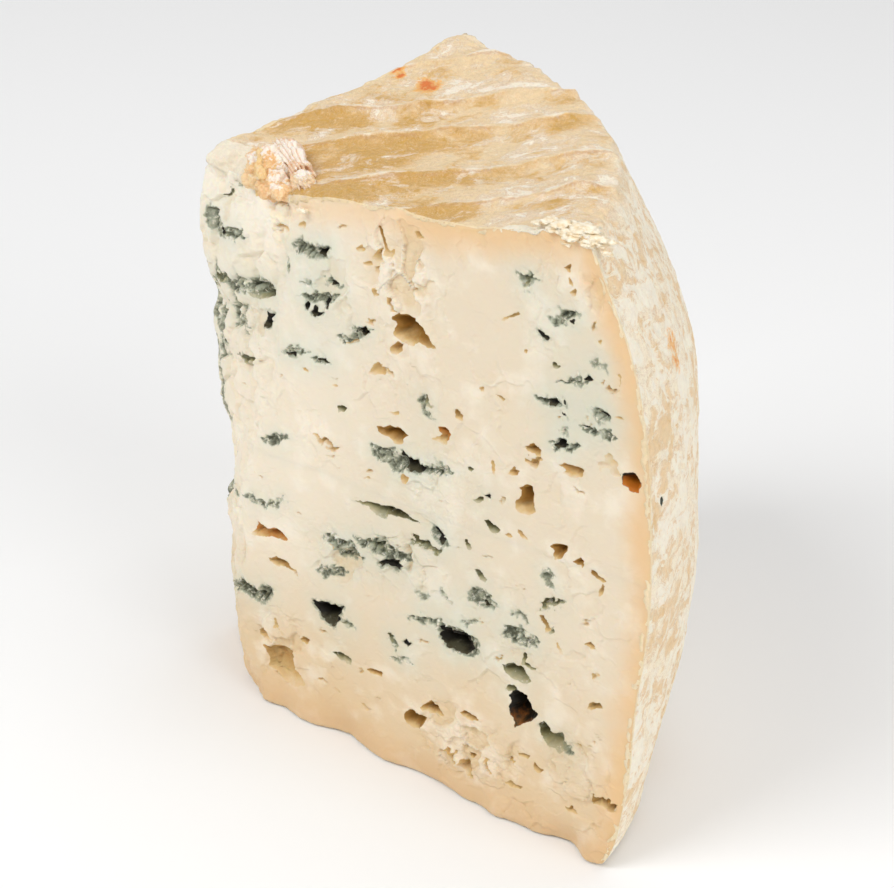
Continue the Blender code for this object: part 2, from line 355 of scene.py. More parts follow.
class Bloom(Enum):
    """What lines a hollow in the paste; in dark, olive and warm hollows the lining also holds painted shade, darker
    toward the upper edge.
    """

    BLUE = "a fuzz of blue mould"
    # Black: near-black mould, its upper part darkened further as painted shade.
    BLACK = "mould so dense and deep that it looks black"
    OLIVE = "thin olive mould"
    # Warm openings: the warmth inside is partly the paste's own colour, partly painted shade that grows with depth and
    # toward the upper edge.
    WARM = "bare paste, warm in its depth"
    AMBER = "bare paste with an orange glow"
    # Rust: orange paste in its lower part; painted shade darkens its upper part and, in deep openings, most of it.
    RUST = "dark paste with a rusty glow"
    FAINT = "mould under the surface, not open"


@dataclass(frozen=True)
class Hollow:
    """One opening in a cut side: its lining, place along the side, height, length, thickness, lean in degrees and depth."""

    bloom: Bloom
    along: float
    height: float
    long: float
    thick: float
    lean: float
    deep: float


@dataclass(frozen=True)
class Opening:
    """One opening with its own outline: its lining, depth, and the outline's places along and up, in turn."""

    bloom: Bloom
    deep: float
    outline: tuple[float, ...]


@dataclass(frozen=True)
class Crumbling:
    """An oval part of a cut side where the paste broke in flakes instead of cutting clean."""

    along: float
    height: float
    wide: float
    tall: float
    rough: float


FRONT_HOLLOWS: tuple[Hollow, ...] = (
    Hollow(Bloom.BLUE, 25.4, 79.4, 2.1, 0.8, -76, 0.6),
    Hollow(Bloom.BLUE, 30.2, 78.2, 1.8, 0.6, 4, 0.4),
    Hollow(Bloom.BLUE, 35, 79.8, 3.5, 0.7, 11, 0.4),
    Hollow(Bloom.BLUE, 31.9, 76.6, 7.2, 1.2, 14, 0.7),
    Hollow(Bloom.BLUE, 39.8, 72.7, 6.4, 1, 32, 0.8),
    Hollow(Bloom.BLACK, 41.4, 73.8, 1.9, 0.6, 0, 2),
    Hollow(Bloom.BLUE, 28, 66, 5.3, 0.9, 24, 0.8),
    Hollow(Bloom.BLUE, 33.2, 66.3, 3.3, 0.3, 7, 0.7),
    Hollow(Bloom.BLUE, 54, 65.4, 3.1, 0.9, -53, 0.8),
    Hollow(Bloom.BLUE, 48.5, 54.5, 8.5, 2.9, -2, 0.8),
    Hollow(Bloom.BLUE, 56.6, 55.8, 6.5, 1.1, 16, 0.8),
    Hollow(Bloom.BLUE, 37.9, 36, 6.4, 1.3, 3, 0.8),
    Hollow(Bloom.BLUE, 40.2, 34.6, 6.3, 1.6, 8, 0.8),
    Hollow(Bloom.BLUE, 36.4, 29.8, 6.2, 1.3, 15, 0.8),
    Hollow(Bloom.BLUE, 47.4, 38, 11, 3.2, 4, 0.8),
    Hollow(Bloom.OLIVE, 55.5, 41.9, 6.7, 1.3, 6, 1.6),
    Hollow(Bloom.BLUE, 58.2, 44.5, 3.6, 1.8, -45, 0.8),
    Hollow(Bloom.BLUE, 40.5, 21.6, 2.6, 0.8, 5, 0.6),
    Hollow(Bloom.BLUE, 49.9, 22.2, 3.3, 0.8, -55, 0.6),
    Hollow(Bloom.BLUE, 51.7, 19.6, 2.3, 0.6, 12, 0.6),
    Hollow(Bloom.BLUE, 55.5, 33, 1.8, 0.8, -4, 0.6),
    Hollow(Bloom.BLUE, 60.1, 34.7, 2, 0.9, -48, 0.7),
    Hollow(Bloom.BLUE, 56.2, 28.9, 6.6, 0.8, 14, 0.6),
    Hollow(Bloom.BLUE, 64.6, 32.1, 2.9, 0.5, 31, 0.6),
    Hollow(Bloom.BLUE, 62.5, 28, 8.7, 3.9, -5, 0.8),
    Hollow(Bloom.BLUE, 66.5, 37, 5.4, 2.6, 0, 0.8),
    Hollow(Bloom.BLACK, 67.5, 36.5, 2, 0.8, -4, 2.2),
    Hollow(Bloom.BLUE, 74.4, 37.2, 2.5, 0.7, -14, 0.7),
    Hollow(Bloom.BLUE, 74.2, 33.5, 6.1, 2, 4, 0.8),
    Hollow(Bloom.BLACK, 75.6, 33.5, 2.6, 0.7, -24, 2.6),
    Hollow(Bloom.BLUE, 78.8, 45.2, 3, 1.3, -36, 0.8),
    Hollow(Bloom.OLIVE, 79.6, 41.4, 5, 1.3, 41, 1.4),
    Hollow(Bloom.BLUE, 71.1, 92, 2.9, 0.9, -10, 0.8),
    Hollow(Bloom.BLUE, 71.2, 91.2, 1.7, 0.6, 86, 0.8),
    Hollow(Bloom.BLUE, 78.3, 87.9, 4.1, 1.7, 33, 0.8),
    Hollow(Bloom.BLUE, 84.2, 82.4, 2.2, 0.7, -7, 0.8),
    Hollow(Bloom.BLUE, 80.7, 78.7, 6.5, 0.6, 22, 0.8),
    Hollow(Bloom.BLUE, 76.5, 74.2, 3.8, 1, 9, 0.7),
    Hollow(Bloom.BLUE, 85.3, 75, 3.5, 1.5, -11, 0.8),
    Hollow(Bloom.BLUE, 84.8, 72.2, 5.6, 0.9, 4, 0.7),
    Hollow(Bloom.BLUE, 79.5, 70.2, 1.2, 0.8, -40, 0.7),
    Hollow(Bloom.BLUE, 79.7, 68, 4.9, 1, 11, 0.8),
    Hollow(Bloom.BLUE, 83.7, 17.3, 2.8, 1.4, -32, 0.8),
    Hollow(Bloom.FAINT, 56.5, 17.9, 2.9, 1.5, 30, 0),
    Hollow(Bloom.BLUE, 19.7, 36.8, 5.3, 0.8, -5, 0.8),
    Hollow(Bloom.BLUE, 11.0, 37.0, 7, 0.8, -30, 0.6),
    Hollow(Bloom.BLUE, 25.1, 38.2, 3.8, 0.8, 33, 0.6),
    Hollow(Bloom.BLUE, 5.6, 80.2, 5.6, 3.2, -10, 0.8),
    Hollow(Bloom.BLACK, 8.6, 79.3, 2.2, 0.9, 0, 1.2),
    Hollow(Bloom.BLUE, 12.0, 80.4, 5.6, 0.9, 10, 0.6),
    Hollow(Bloom.BLUE, 11.3, 88.0, 2.4, 0.7, 25, 0.5),
    Hollow(Bloom.OLIVE, 7.6, 85.6, 2.6, 0.9, 30, 0.7),
    Hollow(Bloom.OLIVE, 7.6, 71.0, 5.0, 2.2, 14, 1.0),
    Hollow(Bloom.BLUE, 12.5, 71.4, 6.5, 0.8, 14, 0.6),
    Hollow(Bloom.BLUE, -1.4, 25.5, 10, 3.0, -82, 0.4),
    Hollow(Bloom.BLUE, 4.2, 62, 8, 1.1, -86, 0.5),
    Hollow(Bloom.BLUE, 4.4, 50, 7, 0.9, -88, 0.5),
    Hollow(Bloom.BLUE, 11.0, 66, 7, 1.1, -20, 0.7),
    Hollow(Bloom.OLIVE, 14.2, 59.2, 5.5, 1.3, 12, 1.0),
    Hollow(Bloom.BLUE, 24.3, 49.3, 5.6, 0.9, 23, 0.6),
    Hollow(Bloom.WARM, 47.2, 79.5, 3.5, 1.1, -46, 1.6),
    Hollow(Bloom.WARM, 34.7, 52.6, 5.7, 1.2, -2, 1.6),
    Hollow(Bloom.WARM, 74.4, 63.4, 3, 1.2, 12, 1.6),
    Hollow(Bloom.WARM, 92.4, 11.4, 5.2, 1.7, 15, 2.6),
    Hollow(Bloom.WARM, 87.8, 67.6, 4.0, 2.6, -20, 0.5),
    Hollow(Bloom.WARM, 62.7, 6.2, 3, 1.6, -23, 1.2),
    Hollow(Bloom.WARM, 66, 5.8, 3.2, 1.7, -34, 1.6),
    Hollow(Bloom.WARM, 70.5, 8.2, 3.3, 1.1, -63, 1.2),
    Hollow(Bloom.WARM, 23.6, 85.1, 2.9, 1.1, -18, 1),
    Hollow(Bloom.WARM, 85.9, 79.8, 1.8, 0.7, -17, 1.2),
    Hollow(Bloom.WARM, 82.3, 61.5, 1.6, 0.7, -35, 0.8),
)
FRONT_OPENINGS: tuple[Opening, ...] = (
    Opening(Bloom.BLUE, 1.6, (26.9, 83.4, 28.7, 85, 29.8, 84.6, 31.2, 84.5, 32.4, 84.7, 33.9, 85, 33.9, 84.5, 33.3, 83.2, 32.1, 83.2, 30.4, 82.7, 28.8, 82.8, 27.4, 82.3)),
    Opening(Bloom.BLACK, 3.8, (31.5, 84.2, 33.9, 85, 33.9, 84.5, 33.3, 83.2, 32.1, 83.4)),
    Opening(Bloom.BLACK, 4.5, (29.5, 74.2, 30, 75.2, 30.7, 75.1, 31, 74.6, 30.5, 73.6, 29.8, 73.7)),
    Opening(Bloom.BLACK, 4.5, (31.1, 73.5, 32, 75.3, 32.7, 74.5, 33.9, 74.5, 33.3, 73.9, 31.9, 73.1)),
    Opening(Bloom.BLACK, 2.5, (33.8, 76.9, 34.7, 76.6, 34.9, 75.4, 34.2, 75.3, 33.9, 76.1)),
    Opening(Bloom.WARM, 2.6, (43.3, 92.1, 44.3, 91.2, 44.8, 89.9, 45.3, 88.4, 45.8, 88.2, 46.6, 88.7, 46.7, 87.9, 46, 87.3, 45, 87.2, 44.7, 88.5, 44.1, 90.2)),
    Opening(Bloom.WARM, 3.8, (47, 78.2, 47.7, 78.7, 49.4, 79, 50.7, 79.1, 52.3, 78.7, 54.1, 77.1, 55.6, 75.4, 54.2, 75.2, 52.5, 75.7, 51.1, 74.4, 49.3, 74.4, 47.1, 74.9, 47.1, 75.6, 47.9, 77, 47.3, 77.5)),
    Opening(Bloom.WARM, 1.8, (46.6, 72.6, 47.2, 73.5, 48.2, 74.4, 49.1, 73.9, 49, 72.9, 48.1, 72.1, 47, 72)),
    Opening(Bloom.WARM, 1.0, (42.6, 66.9, 43.6, 69, 44.8, 69.8, 46.1, 68.9, 46, 68, 44.3, 67.3)),
    Opening(Bloom.BLACK, 3.0, (19.8, 69.7, 22.4, 70.6, 21.8, 69.1, 21, 67.3, 19, 67, 19.8, 68.5)),
    Opening(Bloom.BLUE, 1.4, (14.4, 72.5, 16.3, 73.9, 18.6, 74.7, 20.7, 74.9, 21.1, 74.2, 19.6, 73.7, 18.1, 72.4, 16, 71.5, 14.7, 72)),
    Opening(Bloom.OLIVE, 1.2, (14.8, 71.1, 19.6, 73.7, 21.7, 74.2, 21.3, 72.9, 18.7, 71.5, 16.1, 70.8)),
    Opening(Bloom.WARM, 0.9, (29.4, 63.6, 30.2, 64.1, 30.9, 63.7, 30.9, 63.1, 30.2, 63.4)),
    Opening(Bloom.WARM, 0.7, (35.7, 62.8, 36.5, 63.2, 37, 63.1, 36.4, 62.7)),
    Opening(Bloom.OLIVE, 1.2, (37, 59.5, 38, 60.2, 38.8, 59.9, 38.5, 59.1, 37.3, 58.6)),
    Opening(Bloom.WARM, 0.7, (27.5, 86.8, 28.8, 88.1, 29.2, 87.7, 28.9, 86.5, 27.9, 86.7)),
    Opening(Bloom.BLACK, 1.8, (34.4, 79.9, 35.6, 80.3, 36, 79.8, 34.9, 79.2)),
    Opening(Bloom.BLACK, 1.2, (25.5, 65, 26.7, 65.3, 28, 65.7, 28.2, 65.1, 26.6, 64.8)),
    Opening(Bloom.BLACK, 0.8, (31.7, 66.1, 32.9, 66.5, 34.2, 66.7, 35.3, 66.4, 34.6, 66.1, 32.8, 66.1)),
    Opening(Bloom.OLIVE, 1.4, (8.9, 79.7, 11, 80.3, 11.6, 79.9, 9.7, 79)),
    Opening(Bloom.WARM, 0.7, (39.4, 86.9, 40.5, 87.6, 41.1, 86.9, 40.1, 86.2)),
    Opening(Bloom.WARM, 0.8, (40.5, 84.9, 42, 85.4, 42.6, 84.7, 41.4, 84.4, 40.7, 84.6)),
    Opening(Bloom.WARM, 0.9, (42.2, 85.8, 43.1, 87.3, 44.3, 88.3, 44.7, 86.8, 43.5, 85.6)),
    Opening(Bloom.WARM, 0.8, (50.4, 92.6, 51.5, 92.9, 52.6, 92.5, 51.1, 91.5)),
    Opening(Bloom.WARM, 0.9, (43, 81.5, 43.7, 82, 44.4, 80.7, 43.4, 80.1)),
    Opening(Bloom.WARM, 3.4, (44.9, 58.9, 46.3, 59.3, 47.5, 60, 48.7, 60.2, 50, 60.1, 51.2, 59.6, 50.1, 58.4, 50.3, 57.9, 49.9, 57.5, 48.5, 57.4, 48, 57.9, 46.4, 58, 45.3, 58.2)),
    Opening(Bloom.AMBER, 3.6, (56.8, 63.1, 58.1, 63.5, 58.9, 63.2, 59.1, 62.5, 58.7, 61.3, 58.5, 60.5, 57.4, 60.4, 55.8, 60.5, 55.8, 60.9, 57.4, 61.6, 57.8, 62.2, 56.8, 62.5)),
    Opening(Bloom.BLACK, 3.2, (50, 56.7, 51, 56, 52.3, 55.9, 53.7, 56, 54.8, 54.9, 53.9, 54.1, 52.1, 53.8, 51.2, 54.1, 50.7, 55.1, 50.2, 56)),
    Opening(Bloom.OLIVE, 1.2, (53.8, 67.4, 54.1, 67.6, 54.3, 66.9, 54.7, 66.1, 55.5, 65.8, 55.3, 65.6, 54.3, 65.5, 53.6, 65.1, 53.4, 65.5, 53.9, 66.1)),
    Opening(Bloom.WARM, 2.2, (59.8, 66.9, 60.2, 67.2, 61, 66.7, 61.5, 65.9, 61.4, 65.7, 60, 65.8)),
    Opening(Bloom.WARM, 1.6, (66.8, 71.9, 67.7, 72, 68.6, 71.8, 68.5, 71.2, 67.7, 71.5)),
    Opening(Bloom.WARM, 0.8, (64, 72.2, 64.7, 72.3, 64.9, 71.7, 64.2, 71.6)),
    Opening(Bloom.BLACK, 3.6, (75.8, 74, 77, 74.8, 77.8, 75.1, 78.1, 74.3, 77.5, 73.6, 76.6, 73.5)),
    Opening(Bloom.BLACK, 1.0, (78.9, 75.3, 79.3, 74.9, 79.5, 73.9, 79, 74.5)),
    Opening(Bloom.BLACK, 0.9, (78.5, 73.2, 79.2, 73.1, 79.7, 72.5, 79.1, 72.7)),
    Opening(Bloom.BLACK, 2.4, (77.6, 67.4, 78.3, 67.9, 78.8, 68.6, 79.8, 68.5, 80.2, 68, 79.3, 67.4, 78.2, 67.1)),
    Opening(Bloom.WARM, 2.4, (72.8, 65.6, 73.3, 65.9, 74.2, 66.6, 74.8, 66.3, 75.6, 65.8, 75.7, 64.6, 75.1, 64.7, 74.7, 65.1, 73.8, 64.8, 73.2, 65.1)),
    Opening(Bloom.WARM, 1.8, (70.1, 59.8, 70.5, 60.6, 71.1, 61.5, 71.5, 61.1, 72.2, 61.2, 71.7, 60.2)),
    Opening(Bloom.WARM, 3.4, (72.3, 58.5, 73.3, 59.2, 74.4, 59.5, 74.8, 58.8, 75.1, 57.4, 75.5, 55.3, 74.4, 54.4, 73.2, 54.3, 72.2, 54.2, 71.8, 54.7, 71.8, 55.9, 72.7, 57.2, 72.7, 58.1)),
    Opening(Bloom.WARM, 1.4, (78.9, 64.8, 80.2, 65.4, 81.4, 65.5, 83.1, 65.4, 83.2, 64.2, 82.1, 63.6, 80.9, 63.5, 79.6, 63.5, 80.3, 64.4)),
    Opening(Bloom.OLIVE, 2.2, (63.8, 53.2, 64.8, 53.9, 65.6, 54.3, 65.8, 53.8, 65.2, 53, 64.4, 53.1)),
    Opening(Bloom.BLACK, 2.2, (65.7, 54.7, 66.7, 55.2, 67.2, 54.9, 66.8, 54.3, 66.3, 54.6)),
    Opening(Bloom.OLIVE, 2.4, (66.2, 50.5, 67.1, 51, 67.4, 50.8, 68.2, 50.5, 69.2, 50, 69, 49.4, 68.1, 48.8, 67.3, 49.3, 67, 49.8)),
    Opening(Bloom.OLIVE, 2.8, (41, 44.5, 42.5, 44.9, 44.1, 45.4, 46.2, 45.6, 49, 46.3, 50.4, 46.2, 52.4, 45.7, 54.2, 45.2, 52.3, 45.1, 50.4, 45, 48.9, 44.8, 47.8, 44.6, 47.4, 43.6, 45.6, 43.7, 43.7, 44.4)),
    Opening(Bloom.BLACK, 3.6, (56.7, 45.9, 57.5, 45.8, 58, 45, 59.1, 45.1, 58.7, 44.1, 58.8, 43, 58.2, 43.1, 57.5, 44.1, 57, 45)),
    Opening(Bloom.WARM, 0.7, (46.8, 62, 48.2, 62.5, 48.9, 62.9, 49.1, 62.3, 48.1, 61.9)),
    Opening(Bloom.WARM, 0.7, (42.8, 49.2, 43.7, 49.8, 44.2, 49.5, 43.6, 49.1)),
    Opening(Bloom.OLIVE, 2.2, (43.5, 38.2, 44.4, 39, 45.3, 39.2, 46.5, 38.9, 47.7, 38.1, 49.1, 37.8, 47.3, 37.2, 46.1, 37.3, 44.7, 37.9)),
    Opening(Bloom.BLACK, 4.8, (46.3, 35.3, 47.4, 36.3, 48.8, 37.1, 50.3, 37.3, 51.7, 37, 50.8, 36.2, 49.9, 35.2, 49.5, 35.4, 49.1, 35.9, 48, 35.7, 47.1, 34.9)),
    Opening(Bloom.OLIVE, 1.6, (62.7, 45.9, 63.3, 46.1, 63.9, 45.6, 64.2, 44.4, 63.5, 44.4, 63, 44.9)),
    Opening(Bloom.OLIVE, 1.8, (65, 41.6, 65.9, 41.9, 66.7, 41.3, 67.4, 40.6, 66.9, 40, 66.1, 40.3, 65.6, 41.1)),
    Opening(Bloom.WARM, 3.4, (78.5, 50.8, 79.1, 51.7, 80.5, 52.2, 81.7, 52.3, 81.7, 51.3, 81.1, 49.9, 79.3, 48.9, 79.3, 49.7, 79.5, 50.7)),
    Opening(Bloom.WARM, 0.9, (66.8, 61, 67.2, 61.1, 67.6, 60.5, 67.8, 58.4, 67.4, 58.8, 67, 59.9)),
    Opening(Bloom.OLIVE, 1.4, (62.6, 58.3, 63.2, 58.6, 63.8, 58.4, 63.4, 57.8, 62.8, 58)),
    Opening(Bloom.WARM, 1.2, (72.5, 51.5, 73.3, 51.1, 74.5, 50.5, 73.9, 50, 73.1, 50.5, 72.3, 51)),
    Opening(Bloom.WARM, 0.8, (70.2, 49.7, 70.8, 50.3, 71.6, 49.8, 71, 49.2)),
    Opening(Bloom.WARM, 0.9, (50.2, 52.4, 50.6, 53, 51.8, 52.7, 51.7, 51.9, 50.7, 50.9, 50.2, 51.4)),
    Opening(Bloom.AMBER, 2.2, (19.3, 29.8, 20.4, 31.2, 21.1, 33.1, 22, 32.9, 23.3, 32.6, 24.9, 33.3, 26, 33.2, 27.5, 32.1, 25.4, 31.6, 23.4, 31.2, 21.3, 30.5)),
    Opening(Bloom.WARM, 2.0, (23.3, 27.1, 25, 27.9, 26, 28.2, 26.9, 27.8, 27.7, 27.9, 28.8, 27.2, 29.2, 26.6, 28.4, 27, 27.1, 27.1, 26.7, 26.7, 25.2, 26.4, 23.8, 26.6)),
    Opening(Bloom.BLUE, 1.8, (2.2, 11.3, 17.5, 20.4, 18.8, 20.1, 20, 20, 21.5, 20.4, 22.2, 21.3, 23.7, 21.8, 24.3, 21.2, 24, 19.9, 22.5, 18.4, 20.4, 18.2, 18.3, 18.6, 16.8, 18.4)),
    Opening(Bloom.BLACK, 5.0, (32.9, 22.9, 34.6, 23.5, 36.9, 23.9, 39.7, 24.5, 39.2, 23.2, 38.6, 22.4, 39, 21.7, 38.1, 20.7, 37.7, 19.8, 36.8, 19.8, 35.4, 20.3, 34.4, 21.4)),
    Opening(Bloom.OLIVE, 1.0, (39, 21.5, 40.2, 21.9, 41.7, 21.9, 41.5, 21.3, 40.2, 21.1)),
    Opening(Bloom.WARM, 1.8, (30, 13.8, 31.2, 15.3, 32, 15.5, 32.4, 15, 32.1, 14, 31.2, 14.2)),
    Opening(Bloom.OLIVE, 1.6, (37.5, 15.1, 38.7, 15.5, 40.6, 15.5, 41.7, 14.9, 41.7, 14.2, 40.7, 14.3, 39.2, 14.3)),
    Opening(Bloom.WARM, 1.4, (22.6, 10.1, 23.9, 10.3, 25.3, 10.7, 26.7, 11.5, 28.2, 11.3, 29.5, 10.8, 29.4, 9.1, 28.9, 8.2, 30.6, 7.5, 32.1, 6, 30.2, 5, 28.6, 4.6, 26.9, 5.2, 25.2, 6.1, 23.8, 6.1, 23.9, 7.9, 23.3, 9.2)),
    Opening(Bloom.WARM, 1.4, (21.4, 12.5, 22.4, 13.2, 23.1, 12.3, 23.8, 11.1, 22.6, 10.9, 21.5, 11.4)),
    Opening(Bloom.WARM, 2.0, (45, 15, 46.1, 15.5, 47.1, 15.6, 48.2, 15.4, 48, 14.6, 46.9, 14.6, 45.7, 14.4)),
    Opening(Bloom.WARM, 3.0, (53, 10.1, 53.8, 11.1, 55.2, 11.1, 56.5, 10.9, 57.3, 10.9, 57.1, 10, 56.3, 8.6, 54.7, 7.8, 53.4, 8, 53, 9)),
    Opening(Bloom.WARM, 3.0, (56.2, 12.6, 57.1, 13.8, 58.1, 14.8, 58.9, 14.4, 60, 13.5, 60.7, 12.5, 59.4, 12.5, 57.7, 12.3, 56.7, 12.3)),
    Opening(Bloom.BLACK, 3.6, (52, 23.1, 52.7, 23.9, 53.7, 23.5, 53.1, 22.3)),
    Opening(Bloom.OLIVE, 0.9, (48.9, 23.4, 49.3, 23.8, 50.1, 22.8, 51.2, 22.1, 51, 21.3, 49.9, 21.9)),
    Opening(Bloom.WARM, 1.0, (25.2, 17, 25.7, 16.5, 26.3, 15.2, 27.6, 14.1, 27.2, 14.1, 25.9, 15.2, 24.7, 13.9, 25.3, 15.4)),
    Opening(Bloom.BLACK, 4.8, (58.5, 28.8, 59.6, 28.9, 60.6, 28.7, 62.1, 29.1, 63.8, 29, 64.4, 29, 65.3, 28.3, 65.7, 27.2, 64.2, 25.9, 62.5, 25.7, 60.6, 25.6, 59.8, 26.4, 59, 27.1, 59.2, 28.1)),
    Opening(Bloom.OLIVE, 4.2, (70.9, 26.8, 72.4, 27.7, 73.4, 28.1, 75.1, 28.2, 75.5, 27.6, 76.2, 26.8, 76.8, 26.3, 76.2, 25.5, 75.1, 25.4, 73.6, 25.2, 72.4, 25.7, 71.5, 26.2)),
    Opening(Bloom.OLIVE, 1.4, (75.5, 29.2, 76.2, 29.2, 76.8, 28.9, 77.6, 29.1, 77.4, 28.5, 76.6, 28.4, 75.7, 28.6)),
    Opening(Bloom.OLIVE, 0.8, (74.5, 28.3, 74.9, 29.5, 75.1, 31.1, 75.7, 30.8, 75.5, 29.4, 75.3, 28.6)),
    Opening(Bloom.RUST, 5.4, (72.8, 22, 73.2, 23, 73.9, 23.6, 74.5, 24, 75.3, 23.7, 76.2, 23.3, 77, 22.5, 77.4, 21.6, 78.5, 21, 78.3, 20.4, 77, 19, 75.7, 18.1, 74.9, 17.5, 74.2, 16.5, 74.5, 17.9, 73.4, 18.9, 73, 20, 73.6, 21.2, 73.2, 21.6)),
    Opening(Bloom.OLIVE, 2.2, (72, 22.9, 72.8, 23.9, 73.9, 24.4, 74.5, 24, 73.6, 23.4, 72.6, 22.8)),
    Opening(Bloom.OLIVE, 3.4, (78.7, 19.4, 79.5, 20.1, 79.7, 20.7, 80.4, 20.1, 81.2, 18.9, 82, 19, 82.9, 19.8, 83.9, 18.6, 85, 17.7, 84.7, 16, 83.9, 16.8, 82.9, 15.8, 81.4, 16.3, 80.1, 17.3, 79.3, 18.1)),
    Opening(Bloom.WARM, 2.2, (64.2, 15.3, 64.8, 16.1, 65.6, 16.1, 66.9, 15.9, 67.7, 15.6, 67.5, 15.2, 66.1, 14.9, 65, 14.9)),
    Opening(Bloom.WARM, 2.0, (65.9, 8.5, 66.5, 8.5, 67.3, 8.4, 66.9, 7.4, 66.3, 7, 66.1, 7.8)),
    Opening(Bloom.WARM, 2.2, (78.5, 12.7, 78.9, 12.1, 80.6, 12.1, 79.7, 10.9, 78.9, 10.9, 78.5, 11.7)),
    Opening(Bloom.WARM, 1.6, (75.3, 13, 76.2, 13, 77.8, 13.3, 77.4, 12.5, 76.4, 12.2, 75.5, 12.4)),
    Opening(Bloom.WARM, 1.6, (73.5, 6.5, 74.8, 7.1, 75.8, 6.9, 77.1, 7.3, 76.6, 6.5, 75.2, 6.1)),
    Opening(Bloom.WARM, 1.8, (84.7, 7, 85.6, 7.2, 86, 8, 86.6, 7.2, 87.4, 6.7, 85.9, 6.4)),
    Opening(Bloom.WARM, 1.4, (87.3, 25.8, 87.7, 27.4, 88.5, 28, 89.8, 28.3, 90.2, 27.5, 89.1, 27, 88.3, 26.2)),
    Opening(Bloom.WARM, 1.6, (86, 37.2, 86.9, 37.8, 87.7, 37.5, 88.3, 36.9, 87.2, 36.8)),
    Opening(Bloom.WARM, 1.8, (77.5, 38.6, 78.1, 39, 79.1, 38.3, 79.9, 37.1, 79.6, 36.3, 78.7, 36.1, 79, 37.3, 78, 38)),
    Opening(Bloom.WARM, 0.9, (80.7, 36.6, 81.2, 35.5, 82.6, 33.8, 82, 33.7, 81.2, 34.7)),
    Opening(Bloom.OLIVE, 0.8, (79.4, 36.1, 80.4, 37.8, 80.5, 36.8, 79.8, 36.1)),
    Opening(Bloom.WARM, 1.0, (73.7, 11.2, 74.3, 11.2, 75.1, 10.8, 74.5, 10.2, 73.9, 10.6)),
    Opening(Bloom.WARM, 1.0, (63.4, 8.1, 64, 7.9, 64, 7, 63.6, 7.2)),
    Opening(Bloom.WARM, 0.9, (85.8, 19.3, 86.5, 19.1, 87.1, 18.5, 86.2, 18.5)),
    Opening(Bloom.WARM, 1.2, (66.7, 5.1, 67.4, 4.9, 67.7, 4.3, 67.1, 4.1)),
    Opening(Bloom.WARM, 2.8, (78.5, 50.8, 79.5, 51.9, 81.5, 52.3, 81.5, 50.9, 80.5, 49.6, 79.3, 48.9, 79.5, 50.1, 79.3, 50.9)),
    Opening(Bloom.WARM, 2.6, (83, 50.1, 84, 51.2, 84.8, 50.9, 84.6, 50.2, 84.6, 49.4, 84, 50)),
    Opening(Bloom.WARM, 2.6, (86, 50.2, 86.8, 50, 87.4, 49.7, 88.4, 49.4, 89.2, 49.2, 88.6, 48.6, 87.8, 48.9, 86.8, 49, 86, 49.4)),
    Opening(Bloom.WARM, 1.6, (88.4, 48.6, 88.8, 48.4, 88.6, 47.6, 88.6, 46.6, 87.6, 46.1, 87.8, 47.3)),
    Opening(Bloom.OLIVE, 1.0, (69.8, 92.1, 71, 92, 72.4, 92.7, 71.6, 91.7, 71.4, 91, 71.9, 90.7, 70.8, 90.3, 70.4, 90.4, 71, 91.3)),
    Opening(Bloom.BLACK, 3.0, (79, 87.8, 79.8, 88.2, 79.8, 87.5, 79.4, 87.2, 78.9, 87.6)),
    Opening(Bloom.BLACK, 3.2, (73.5, 84.6, 74, 84.7, 74.7, 84.2, 75.2, 84.3, 75.8, 84, 75.4, 83.3, 74.6, 83.5, 74.1, 83.8)),
    Opening(Bloom.WARM, 1.0, (71.3, 80.3, 71.7, 81, 72.2, 80.9, 72, 80.2, 71.5, 80.1)),
    Opening(Bloom.OLIVE, 1.4, (76.5, 80.4, 77, 80.7, 77.4, 80.3, 78.1, 80.3, 77.4, 79.5, 76.7, 79.4)),
    Opening(Bloom.BLACK, 3.2, (82, 79.6, 82.6, 80.3, 83.7, 80, 83.2, 79.6, 82.4, 79.2)),
    Opening(Bloom.BLUE, 1.6, (83.2, 82.7, 84.3, 83.3, 84.8, 82.7, 84.4, 82.2)),
    Opening(Bloom.BLUE, 1.6, (84, 75.3, 84.8, 75.6, 86.3, 75.4, 87, 74.9, 85.6, 74.1, 84.7, 74.4)),
    Opening(Bloom.BLACK, 2.4, (84.8, 75.6, 85.9, 75.8, 86.9, 75.1, 86.4, 74.8, 85.5, 75.1)),
    Opening(Bloom.BLACK, 0.8, (82.1, 72.1, 83.2, 72.5, 84.3, 72.5, 84, 72, 82.9, 72.1)),
    Opening(Bloom.WARM, 1.6, (66.9, 84, 68.1, 85, 70, 86.2, 70.3, 85.8, 68.6, 84.9, 67.6, 83.9)),
    Opening(Bloom.WARM, 1.8, (77.3, 95.4, 78.5, 96.2, 78.7, 95.1, 77.9, 94.7)),
    Opening(Bloom.WARM, 1.2, (78.4, 94.4, 78.9, 94, 79.3, 93, 78.5, 93.3)),
    Opening(Bloom.WARM, 1.2, (78.7, 91.8, 79.5, 92.9, 79.8, 92.5, 79.8, 91.6, 79, 91.4)),
    Opening(Bloom.WARM, 0.8, (83.8, 86.1, 84.5, 86.6, 84.6, 85.8, 84.2, 85.5)),
    Opening(Bloom.WARM, 1.0, (87.2, 79.2, 88.1, 80.1, 88.2, 81.7, 87.7, 82.3, 88.2, 82.4, 88.4, 81.5, 88.3, 79.9, 87.8, 79.2)),
    Opening(Bloom.WARM, 0.8, (87.6, 75.3, 88.5, 76, 89.5, 75.7, 88.5, 75.4)),
    Opening(Bloom.RUST, 3.4, (89.6, 66.9, 91.7, 68.2, 93, 66.8, 92.8, 65, 91.3, 65.1, 89.9, 65.5)),
)
